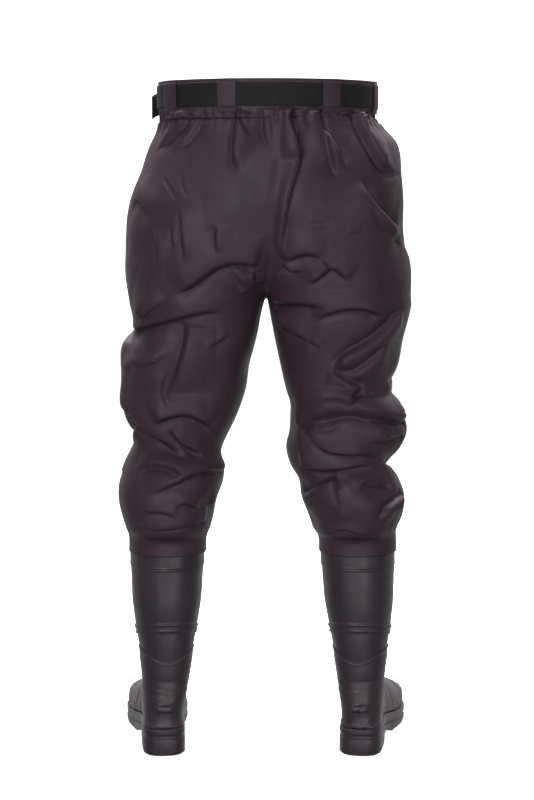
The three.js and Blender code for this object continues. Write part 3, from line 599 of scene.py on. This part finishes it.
# Folds of the outer sides in millimetres: along (towards the toes) and up.
LEFT_SIDE_FOLDS = (
    Fold(3.5, 9, 1, ((-45, 1062), (-48, 1020), (-58, 970)), (0.05, 0.5)),
    Fold(3, 8, -1, ((-10, 1062), (0, 1025), (12, 990)), (0.05, 0.5)),
    Fold(4, 11, -1, ((20, 742), (-25, 722), (-70, 704), (-100, 700)), (0.3, 0.2)),
    Fold(6, 13, -1, ((15, 530), (-30, 535), (-75, 546), (-115, 570)), (0.3, 0.2)),
)
RIGHT_SIDE_FOLDS = (
    Fold(3.5, 9, 1, ((-40, 1062), (-42, 1020), (-52, 980)), (0.05, 0.5)),
    Fold(3, 11, 1, ((22, 806), (-20, 824), (-65, 846), (-95, 872)), (0.4, 0.4)),
    Fold(5, 12, 1, ((20, 660), (-20, 638), (-65, 628), (-105, 640)), (0.3, 0.2)),
    Fold(5, 12, 1, ((20, 486), (-20, 484), (-70, 492), (-110, 506)), (0.3, 0.2)),
)


def seam_lean(co):
    """How far the rise seam stands from the middle line at each place: it wanders right up the back."""
    lean = MM * np.interp(co[:, 2] / MM, [row[0] for row in SEAM_LINE], [row[1] for row in SEAM_LINE])
    return lean * np.clip(-(co[:, 1] - MIDDLE.y) / WAIST_HALF[1], 0, 1)


GATHER_SEED = 11


def gathers(turn, down):
    """How far the gathered cloth stands out round the waist, at a turn from the back and a way down."""
    rng = np.random.default_rng(GATHER_SEED)
    lift = np.zeros(len(turn))
    at = -math.pi
    while at < math.pi:
        wide = rng.uniform(0.014, 0.03)
        deep, long = rng.uniform(1.0, 3.6) * MM, rng.uniform(0.02, 0.075)
        lean = rng.uniform(-0.6, 0.6)
        gap = (turn - at - lean * down + math.pi) % (2 * math.pi) - math.pi
        slot = np.exp(-np.abs(gap) / wide) - 0.5 * np.exp(-(((gap - 2.2 * wide) / (1.6 * wide)) ** 2))
        lift -= deep * slot * np.clip(1 - down / long, 0, 1) ** 1.3
        at += rng.uniform(0.06, 0.17)
    return lift


def turn_of(co):
    """The turn round the waist from the middle of the back, to the right."""
    return np.arctan2((co[:, 0] - MIDDLE.x) / WAIST_HALF[0], -(co[:, 1] - MIDDLE.y) / WAIST_HALF[1])


def ripple(co, scale, seed):
    """Slow unevenness of the cloth, longer down the leg than across it."""
    offset = Vector((seed, 2 * seed, 3 * seed))
    stretch = Vector((1 / scale, 1 / scale, 0.55 / scale))
    return np.array([noise.noise(Vector(p) * stretch + offset) for p in co])


def trouser_sheet(cell):
    """The outer side of both legs as one even net, open at the waist and the hems."""
    bm = mesh_of("left_trouser_leg", "right_trouser_leg")
    across = lambda face: face.calc_center_median().x
    outer_sheet(bm, [min(bm.faces, key=across), max(bm.faces, key=across)])
    bmesh.ops.remove_doubles(bm, verts=[v for v in bm.verts if v.is_boundary], dist=0.0006)
    rounded(bm)
    extend_rim(bm, lambda co: co.z > WAIST_SEAM - 0.001, (0, 0, 4 * cell))
    extend_rim(bm, lambda co: co.z < HEM + 0.001, (0, 0, -4 * cell))
    close_holes(bm)
    bm = even_net(bm, cell, 16)
    cut(bm, (0, 0, WAIST_SEAM), (0, 0, 1))
    cut(bm, (0, 0, HEM), (0, 0, -1))
    return object_of(bm, "trousers")


def tree_of(*pieces):
    """What a look at the cloth meets first: the pieces as one tree of faces."""
    bm = bmesh.new()
    for piece in pieces:
        bm.from_mesh(piece.data)
    tree = BVHTree.FromBMesh(bm)
    bm.free()
    return tree


def pressed(data, tree):
    """How far the cloth of the trousers or the waistband stands out for its folds, gathers and unevenness."""
    co, normals = points_of(data), normals_of(data)
    lift = UNEVEN_WIDE[0] * ripple(co, UNEVEN_WIDE[1], 3) + UNEVEN_FINE[0] * ripple(co, UNEVEN_FINE[1], 5)
    lift += CREASED[0] * (np.abs(ripple(co, CREASED[1], 7)) - 0.15)
    back = (*WAIST_FOLDS, *SEAT_FOLDS, *LEFT_FOLDS, *RIGHT_FOLDS)
    toward = -(unit(co - np.array(CAMERA_PLACE)) * normals).sum(1)
    lift += press_folds(co, normals, tree, back, from_camera) * ease(toward, 0.04, 0.36)
    for folds, look in (
        (FRONT_FOLDS, from_front),
        (LEFT_SIDE_FOLDS, from_left),
        (RIGHT_SIDE_FOLDS, from_right),
    ):
        lift += press_folds(co, normals, tree, folds, look)
    down = np.maximum(WAIST_SEAM - co[:, 2], 0)
    near_waist = down < 0.08
    lift[near_waist] += gathers(turn_of(co[near_waist]), down[near_waist])
    return lift


def fold_trousers(whole, tree):
    """Presses the folds, the gathers and the casing's stitch line into the trousers."""
    data = whole.data
    lift = pressed(data, tree)
    co, normals = points_of(data), normals_of(data)
    down = WAIST_SEAM - co[:, 2]
    lift -= STITCH_DEPTH * np.exp(-(((down - CASING_BELOW) / STITCH_WIDTH) ** 2))
    lift *= 0.25 + 0.75 * ease(co[:, 2], HEM + 0.02, HEM + 0.05)
    # The welded band over the boot top stands a little proud of the cloth above it
    weld_edge = co[:, 2] - WELD_SAG * np.cos(co[:, 0] * WELD_WAVES)
    lift += 0.8 * MM * (1 - ease(weld_edge, WELD_TOP, WELD_TOP + 0.003))
    set_points(data, co + normals * lift[:, None])


def half_of(whole, name, side):
    """One leg of the dressed trousers, cut along the leaning rise seam."""
    data = whole.data.copy()
    co = points_of(data)
    co[:, 0] -= seam_lean(co)
    set_points(data, co)
    bm = bmesh.new()
    bm.from_mesh(data)
    cut(bm, (MIDDLE.x + side * 0.1 * MM, 0, 0), (-side, 0, 0))
    bpy.data.meshes.remove(data)
    half = object_of(bm, name)
    co = points_of(half.data)
    co[:, 0] += seam_lean(co)
    set_points(half.data, co)
    return half


# Boots

# Each shaft's middle from the wearer's, the side it is worn on, and how far its toes turn out in degrees.
STANCES = {"left": (-0.179, -1, 6), "right": (0.165, 1, 9)}
SHAFT_FROM_HEEL = 69 * MM
# The shaft's middle from the back of the heel, and half its depth there, for what changes from front to back.
SHAFT_MIDDLE, SHAFT_REACH = 66 * MM, 57 * MM
BOOT_THICKNESS = 3 * MM

# The groove round the heel's side: its height, how far from it its rows stand, where it narrows towards the
# arch, and how far it is raised and opened.
HEEL_GROOVE, GROOVE_REACH, HEEL_GROOVE_END = 29 * MM, 2.8 * MM, -35 * MM
GROOVE_RAISED, GROOVE_OPENED = 3.5 * MM, 0.7
# Soft creases where the ankle bends: height, depth and half width in millimetres, and how much each slants.
ANKLE_CREASES = ((124, 0.7, 3, 0.05), (107, 1.1, 3.5, 0.09), (96, 0.5, 3, 0.02), (89, 0.5, 3, -0.04))
# Ridges of the vamp's strap: where each stands along the boot in metres, and how much it leans.
VAMP_RIDGES = ((0.098, 0.62), (0.138, 0.5))
# The spur's small ribs stand this many millimetres apart.
SPUR_RIB_PITCH = 4.2

# What is moulded round the boot: heights above the floor, and how far the face stands proud there.
CUFF = (
    (366, 0.3), (364.5, 1.3), (361, 1.3), (359, 0.5), (322.5, 0.5), (321.6, 1.2), (320.4, 1.2), (319.6, 0.1),
    (318.6, 0.1), (317.8, 0.8), (316.8, 0.8), (316, 0),
)
RIBS = (
    (213, 0), (211.5, 1.9), (209, 2.1), (207.5, 0.5), (203, 0.7), (202, 0.7), (200.8, 2.1), (198.2, 2.0),
    (197, 0), (194, 0),
)
OVERLAY = ((177.4, 0), (176.6, 1.9), (174.6, 2.0), (173, 1.2), (156, 1.2), (116, 0))
RIB_RISE, OVERLAY_DROP = 13.5 * MM, -27 * MM
SPUR = ((86, 0), (84, 3.4), (82.5, 4.6), (78, 4.6), (76.6, 3.2), (75.6, 0))


def boot_axes(co, name):
    """Where points stand on their boot: across, positive on its outer side, and along from heel to toe."""
    stance, side, turn = STANCES[name]
    x, y = co[:, 0] - MIDDLE.x - stance, co[:, 1] - MIDDLE.y
    angle = math.radians(side * turn)
    across = side * (x * math.cos(angle) - y * math.sin(angle))
    return across, x * math.sin(angle) + y * math.cos(angle) + SHAFT_FROM_HEEL


def backness(co, name):
    return np.clip((SHAFT_MIDDLE - boot_axes(co, name)[1]) / SHAFT_REACH, 0, 1)


def moulded(profile, height):
    """How far a moulded profile stands proud at each height."""
    rows = sorted(profile)
    return MM * np.interp(height / MM, [row[0] for row in rows], [row[1] for row in rows])


def add_rows(made, rise, heights):
    """Adds a row of points round a piece at each height, which may rise from place to place."""
    data = made.data
    co = points_of(data)
    co[:, 2] -= rise(co)
    set_points(data, co)
    bm = bmesh.new()
    bm.from_mesh(data)
    for height in heights:
        cut(bm, (0, 0, height * MM), (0, 0, 1), drop=False)
    bm.to_mesh(data)
    bm.free()
    co = points_of(data)
    co[:, 2] += rise(co)
    set_points(data, co)


def boot_sheet(node, cell):
    """The outer side of a boot's upper as an even net, closed under the foot and open at the top."""
    bm = mesh_of(node)
    outer_sheet(bm, [min(bm.faces, key=lambda face: face.calc_center_median().y)])
    extend_rim(bm, lambda co: co.z > BOOT_TOP - 0.001, (0, 0, 4 * cell))
    close_holes(bm)
    bm = even_net(bm, cell, 2)
    relax(bm, 30, lambda co: co.z > 0.06)
    cut(bm, (0, 0, BOOT_TOP), (0, 0, 1))
    return object_of(bm, node + "_dressed")


def mould_boot(made, name):
    """Moulds the cuff, the ribs, the overlay's lip, the creases, the spur, the toe cap and the vamp's ridges
    into a boot."""
    rib_rise = lambda co: RIB_RISE * backness(co, name)
    overlay_rise = lambda co: OVERLAY_DROP * backness(co, name) ** 3
    add_rows(made, lambda co: 0, [row[0] for row in (*CUFF[1:], *SPUR)])
    add_rows(made, rib_rise, [row[0] for row in RIBS])
    add_rows(made, overlay_rise, [row[0] for row in OVERLAY[:4]])
    data = made.data
    co, normals = points_of(data), normals_of(data)
    across, along = boot_axes(co, name)
    height = co[:, 2]
    lift = moulded(CUFF, height) + moulded(RIBS, height - rib_rise(co))
    lift += moulded(OVERLAY, height - overlay_rise(co))
    heel = 1 - ease(along, 0.02, 0.035)
    lift += moulded(SPUR, height) * heel * (1 - ease(np.abs(across), 0.010, 0.0135))
    ribs = 0.5 + 0.5 * np.cos(across / MM * 2 * math.pi / SPUR_RIB_PITCH)
    below_spur = ease(height, 0.056, 0.06) * (1 - ease(height, 0.07, 0.074))
    lift += 0.7 * MM * ribs * heel * (1 - ease(np.abs(across), 0.009, 0.012)) * below_spur
    for at, deep, wide, slant in ANKLE_CREASES:
        s = (height - at * MM - slant * across) / (wide * MM)
        lift -= deep * MM * np.exp(-(s**2)) * (1 - ease(along, 0.06, 0.1))
    foot = ease(height, 0.045, 0.052)
    for start, slope in VAMP_RIDGES:
        s = (along - start - slope * height) / (2.2 * MM)
        lift += 1.1 * MM * np.exp(-(s**4)) * foot * (1 - ease(height, 0.125, 0.135))
    # The upper's foot flares onto the sole
    lift += 1.6 * MM * (1 - ease(height, 0.05, 0.058)) * (1 - ease(along, 0.06, 0.1))
    toe_cap = ease(along + 0.25 * height, 0.243, 0.245)
    lift += 0.9 * MM * toe_cap * foot
    set_points(data, co + normals * lift[:, None])


def round_edges(bm, flat, sharp, width):
    """Joins faces that are flat to so many degrees, and rounds the edges sharper than so many."""
    bmesh.ops.dissolve_limit(bm, angle_limit=math.radians(flat), verts=bm.verts, edges=bm.edges)
    edges = [e for e in bm.edges if e.calc_face_angle(0) > math.radians(sharp)]
    shape = {"affect": "EDGES", "segments": 2, "profile": 0.5, "material": -1, "clamp_overlap": True}
    bmesh.ops.bevel(bm, geom=edges, offset=width, **shape)
    bmesh.ops.triangulate(bm, faces=bm.faces)


def sole_piece(node):
    """An outsole with its moulded edges a little rounded."""
    bm = mesh_of(node)
    # The groove under the foxing is open wider round the heel
    for vert in bm.verts:
        rise = vert.co.z - HEEL_GROOVE
        if abs(rise) < GROOVE_REACH and vert.co.y < HEEL_GROOVE_END:
            vert.co.z += GROOVE_RAISED + rise * GROOVE_OPENED
    round_edges(bm, 2, 32, 0.7 * MM)
    made = object_of(bm, node + "_dressed")
    made.data.set_sharp_from_angle(angle=math.radians(40))
    return made


# Waistband, belt and buckle. Distances out from the waist line are in millimetres.

BAND_OUT, BELT_OUT, TAIL_OUT = 1.5, 1.8, 5.8
# How far the casing laps down over the trousers' top, and how far it stands off them there.
BAND_LAP, BAND_LAP_OUT = 3 * MM, 0.9
LOOP_TURNS = {
    "back_left": -21, "back_right": 35, "side_left": -60, "side_right": 80,
    "front_left": -128, "front_right": 140,
}
LOOP_WIDTH = 30
# How thick the casing, the loops and the webbing are.
CASING_CLOTH, LOOP_CLOTH, WEBBING_CLOTH = 3, 1.4, 2
BELT_END_TURN, TAIL_START_TURN, TAIL_END_TURN = 171.9, -169.3, -93
TAIL_DROP, TAIL_FLARE = 16, 5


def waist_point(turn, out, z):
    """A point round the waist: turn 0 is the middle of the back, and out is how far outside the line."""
    a, b = WAIST_HALF
    outward = Vector((math.sin(turn) / a, -math.cos(turn) / b, 0)).normalized()
    return MIDDLE + Vector((a * math.sin(turn), -b * math.cos(turn), z)) + outward * out * MM


def waist_pace(turn):
    """How far the waist line runs for each radian at a turn."""
    return math.hypot(WAIST_HALF[0] * math.cos(turn), WAIST_HALF[1] * math.sin(turn))


def strip(name, across, along, place, ring=False):
    """A grid of cells bent into place: place(u, v) gives a point for u along and v across it, 0 to 1."""
    bm = bmesh.new()
    bmesh.ops.create_grid(bm, x_segments=along, y_segments=across, size=0.5, calc_uvs=True)
    for vert in bm.verts:
        vert.co = place(vert.co.x + 0.5, vert.co.y + 0.5)
    if ring:
        bmesh.ops.remove_doubles(bm, verts=bm.verts, dist=1e-5)
    outward = sum((f.calc_center_median() - MIDDLE).xy.dot(f.normal.xy) for f in bm.faces)
    if outward < 0:
        bmesh.ops.reverse_faces(bm, faces=bm.faces)
    return object_of(bm, name)


def thick(made, thickness, offset=1.0, edge=0.0):
    """Gives a strip its thickness, outwards unless told otherwise, and rounds its edges."""
    solid = made.modifiers.new("cloth", "SOLIDIFY")
    solid.thickness = thickness * MM
    solid.offset = offset
    if edge:
        soft = made.modifiers.new("edge", "BEVEL")
        soft.width = edge * MM
        soft.segments = 2
        soft.limit_method = "ANGLE"
        soft.angle_limit = math.radians(50)
    return made


def waistband_sheet():
    """The casing as an open ring, from its lap over the trousers to its top."""
    low, high = WAIST_SEAM - BAND_LAP, WAIST_TOP
    place = lambda u, v: waist_point((2 * u - 1) * math.pi, 0, low + v * (high - low))
    return strip("gathered_waistband", 24, 620, place, True)


def fold_waistband(made, tree):
    """Presses the folds and gathers that reach the casing into it, and flattens them behind the belt."""
    data = made.data
    lift = pressed(data, tree)
    co, normals = points_of(data), normals_of(data)
    height = co[:, 2]
    slack = 1 - 0.9 * ease(height, BELT_LOW - 0.009, BELT_LOW - 0.001)
    lift *= slack
    lift = np.where(height > BELT_LOW - 0.002, np.minimum(lift, 0), lift)
    lift += MM * (BAND_LAP_OUT + (BAND_OUT - BAND_LAP_OUT) * ease(height, WAIST_SEAM, BELT_LOW))
    set_points(data, co + normals * lift[:, None])
    return thick(made, CASING_CLOTH, offset=-1.0)


def loop_piece(name, turn):
    """A strip bowed out over the belt, with two grooves of stitching below it."""
    turn = math.radians(turn)
    reach = 0.5 * LOOP_WIDTH * MM / waist_pace(turn)
    low, belt_low, belt_high, high = BELT_LOW / MM - 9, BELT_LOW / MM, BELT_HIGH / MM, WAIST_TOP / MM
    rows = (
        (low, 2.2), (low + 1.6, 2.2), (low + 2.2, 1.5), (low + 2.8, 2.2), (low + 4.4, 2.2), (low + 5, 1.5),
        (low + 5.6, 2.2), (belt_low - 2.5, 2.2), (belt_low - 1, 3.0), (belt_low + 1, 4.1),
        (belt_low + 8, 4.35), (belt_high - 8, 4.35), (belt_high - 1, 4.1), (belt_high + 1.5, 2.8),
        (belt_high + 3, 2.2), (high, 2.2),
    )

    def place(u, v):
        z = low + v * (high - low)
        out = float(np.interp(z, [row[0] for row in rows], [row[1] for row in rows]))
        bow = 0.35 * (1 - (2 * u - 1) ** 2)
        return waist_point(turn + (2 * u - 1) * reach, out + bow, z * MM)

    return thick(strip(name, 110, 16, place), LOOP_CLOTH, edge=0.35)


def belt_piece():
    """The webbing round the waist, from one half of the buckle to the other."""
    end, width = math.radians(BELT_END_TURN), BELT_HIGH - BELT_LOW
    place = lambda u, v: waist_point((2 * u - 1) * end, BELT_OUT, BELT_LOW + v * width)
    return thick(strip("webbing_belt", 10, 300, place), WEBBING_CLOTH, edge=0.7)


def tail_piece():
    """The belt's spare end, which droops and stands off at the left side."""
    start, end = math.radians(TAIL_START_TURN), math.radians(TAIL_END_TURN)

    def place(u, v):
        late = max(0.0, (u - 0.55) / 0.45) ** 2
        out = TAIL_OUT + TAIL_FLARE * late + 0.5 * math.sin(9 * u) * u
        up = -TAIL_DROP * (0.25 * u + 0.75 * late) * MM
        return waist_point(start + u * (end - start), out, BELT_LOW + up + v * (BELT_HIGH - BELT_LOW))

    return thick(strip("webbing_tail", 10, 140, place), WEBBING_CLOTH, edge=0.7)


def buckle_half(node):
    """Half of the buckle with its moulded edges rounded."""
    bm = mesh_of(node)
    round_edges(bm, 3, 40, 0.5 * MM)
    made = object_of(bm, node + "_dressed")
    made.data.set_sharp_from_angle(angle=math.radians(40))
    return made


class WaderFinishes(bpy.types.PropertyGroup):
    fabric_colour: bpy.props.FloatVectorProperty(
        name="Fabric", description="Colour of the coated fabric", subtype="COLOR", size=4,
        default=colour(79, 61, 70),
    )
    boot_colour: bpy.props.FloatVectorProperty(
        name="Boots", description="Colour of the moulded boots", subtype="COLOR", size=4,
        default=colour(71, 63, 68),
    )
    belt_colour: bpy.props.FloatVectorProperty(
        name="Belt", description="Colour of the webbing belt", subtype="COLOR", size=4,
        default=colour(33, 30, 33),
    )


class WaderNets(bpy.types.PropertyGroup):
    trouser_cell: bpy.props.FloatProperty(
        name="Trouser cell", description="Cell of the trousers' net", default=0.0029, min=0.002, unit="LENGTH"
    )
    boot_cell: bpy.props.FloatProperty(
        name="Boot cell", description="Cell of the boots' net", default=0.0025, min=0.0012, unit="LENGTH"
    )


class WADER_OT_trousers(bpy.types.Operator):
    """Makes the two trouser legs and the waistband with their folds"""

    bl_idname = "wader.trousers"
    bl_label = "Trousers"

    def execute(self, context):
        scene = context.scene
        whole = trouser_sheet(scene.wader_nets.trouser_cell)
        band = waistband_sheet()
        tree = tree_of(whole, band)
        fold_trousers(whole, tree)
        fold_waistband(band, tree)
        material = fabric_finish(scene.wader_finishes)
        dressed(band, material, "trouser_fabric", "waistband")
        for side, name in ((-1, "left"), (1, "right")):
            half = wall(half_of(whole, name + "_trousers", side), FABRIC_THICKNESS, HIDDEN_SHARE)
            dressed(half, material, "trouser_fabric", name + "_trouser_leg")
        bpy.data.objects.remove(whole)
        return {"FINISHED"}


class WADER_OT_boots(bpy.types.Operator):
    """Makes the boot uppers and dresses the soles"""

    bl_idname = "wader.boots"
    bl_label = "Boots"

    def execute(self, context):
        scene = context.scene
        material = boot_finish(scene.wader_finishes)
        lining = lining_finish()
        for name in ("left", "right"):
            upper = boot_sheet(name + "_boot_upper", scene.wader_nets.boot_cell)
            mould_boot(upper, name)
            upper = wall(upper, BOOT_THICKNESS, HIDDEN_SHARE)
            dressed(upper, material, "boot_pvc", name + "_boot_upper")
            dressed(sole_piece(name + "_outsole"), material, "boot_pvc", name + "_outsole")
            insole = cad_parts[name + "_insole"].data
            insole.materials.clear()
            insole.materials.append(lining)
        return {"FINISHED"}


class WADER_OT_waist(bpy.types.Operator):
    """Makes the belt and its loops, and dresses the buckle"""

    bl_idname = "wader.waist"
    bl_label = "Waist"

    def execute(self, context):
        scene = context.scene
        fabric = bpy.data.materials["coated_trouser_fabric"]
        webbing = webbing_finish(scene.wader_finishes)
        plastic = plastic_finish()
        dressed(belt_piece(), webbing, "belt_webbing", "belt")
        dressed(tail_piece(), webbing, "belt_webbing", "belt_tail")
        for place, turn in LOOP_TURNS.items():
            loop = loop_piece("stitched_loop_" + place, turn)
            dressed(loop, fabric, "trouser_fabric", "belt_loop_" + place)
        for node in ("buckle_socket", "buckle_plug"):
            dressed(buckle_half(node), plastic, "buckle_plastic", node)
        return {"FINISHED"}


# Soft lights: name, place, what they point at, size in metres and watts
LAMPS = (
    ("key", (-1.0, -3.2, 2.0), (0, 0, 0.55), (1.6, 2.0), 47),
    ("fill", (1.5, -3.2, 0.5), (0, 0, 0.25), (1.6, 1.2), 18),
    ("floor bounce", (0.0, -1.1, 0.04), (0, 0, 0.18), (1.5, 0.3), 2.3),
    ("top", (0.0, 0.9, 2.9), (0, 0, 0.1), (2.4, 1.6), 190),
)
# How bright the room is behind the camera, and beyond the object.
WORLD_FRONT, WORLD_BACK = 0.04, 0.7


def soft_light(name, place, target, size, power):
    data = bpy.data.lights.new(name, "AREA")
    data.shape = "RECTANGLE"
    data.size, data.size_y = size
    data.energy = power
    lamp = bpy.data.objects.new(name, data)
    lamp.location = place
    lamp.visible_camera = False
    lamp.rotation_euler = (Vector(target) - Vector(place)).to_track_quat("-Z", "Y").to_euler()
    bpy.context.scene.collection.objects.link(lamp)


class WADER_OT_stage(bpy.types.Operator):
    """Sets the floor, the soft lights and the camera"""

    bl_idname = "wader.stage"
    bl_label = "Stage"

    def execute(self, context):
        scene = context.scene
        scene.view_settings.view_transform = "Standard"
        bm = bmesh.new()
        bmesh.ops.create_grid(bm, x_segments=1, y_segments=1, size=14)
        floor = object_of(bm, "floor", smooth=False)
        floor.visible_diffuse = False
        floor.visible_glossy = False
        ground = Finish("floor_white", Roughness=0.9, Emission_Strength=0.9)
        ground.shader.inputs["Base Color"].default_value = (0.8, 0.8, 0.8, 1)
        ground.shader.inputs["Emission Color"].default_value = (1, 1, 1, 1)
        floor.data.materials.append(ground.material)
        world = bpy.data.worlds.new("studio")
        world.use_nodes = True
        studio = Nodes(world.node_tree)
        toward_toes = studio.axes(studio.node("ShaderNodeTexCoord", out="Generated"))[1]
        lit = studio.ramp(toward_toes, -0.1, 0.9, WORLD_FRONT, WORLD_BACK)
        seen = studio.node("ShaderNodeLightPath", out="Is Camera Ray")
        background = world.node_tree.nodes["Background"]
        studio.feed(background.inputs["Strength"], lit + seen * 1.2)
        background.inputs["Color"].default_value = (1, 1, 1, 1)
        scene.world = world
        for lamp in LAMPS:
            soft_light(*lamp)
        data = bpy.data.cameras.new("camera")
        data.sensor_fit = "VERTICAL"
        data.sensor_height = 36
        data.lens = data.sensor_height * FOCUS / (2 * PHOTO_MIDDLE[1])
        data.clip_end = 60
        camera = bpy.data.objects.new("camera", data)
        camera.location = CAMERA_PLACE
        camera.rotation_euler = (math.radians(90 - CAMERA_TILT), 0, 0)
        scene.collection.objects.link(camera)
        scene.camera = camera
        return {"FINISHED"}


class WADER_PT_panel(bpy.types.Panel):
    bl_label = "Waist wader"
    bl_space_type = "VIEW_3D"
    bl_region_type = "UI"
    bl_category = "Wader"

    def draw(self, context):
        for group in (context.scene.wader_finishes, context.scene.wader_nets):
            for key in group.__annotations__:
                self.layout.prop(group, key)
        for step in STEPS:
            self.layout.operator(step.bl_idname)


STEPS = (WADER_OT_stage, WADER_OT_trousers, WADER_OT_boots, WADER_OT_waist)
GROUPS = {"wader_finishes": WaderFinishes, "wader_nets": WaderNets}


def register():
    for group in GROUPS.values():
        bpy.utils.register_class(group)
    for kind in (*STEPS, WADER_PT_panel):
        bpy.utils.register_class(kind)
    for key, group in GROUPS.items():
        setattr(bpy.types.Scene, key, bpy.props.PointerProperty(type=group))


def unregister():
    for key in GROUPS:
        delattr(bpy.types.Scene, key)
    for kind in (WADER_PT_panel, *reversed(STEPS), *GROUPS.values()):
        bpy.utils.unregister_class(kind)


def main():
    register()
    bpy.ops.wader.stage()
    bpy.ops.wader.trousers()
    bpy.ops.wader.boots()
    bpy.ops.wader.waist()


if __name__ == "__main__":
    main()
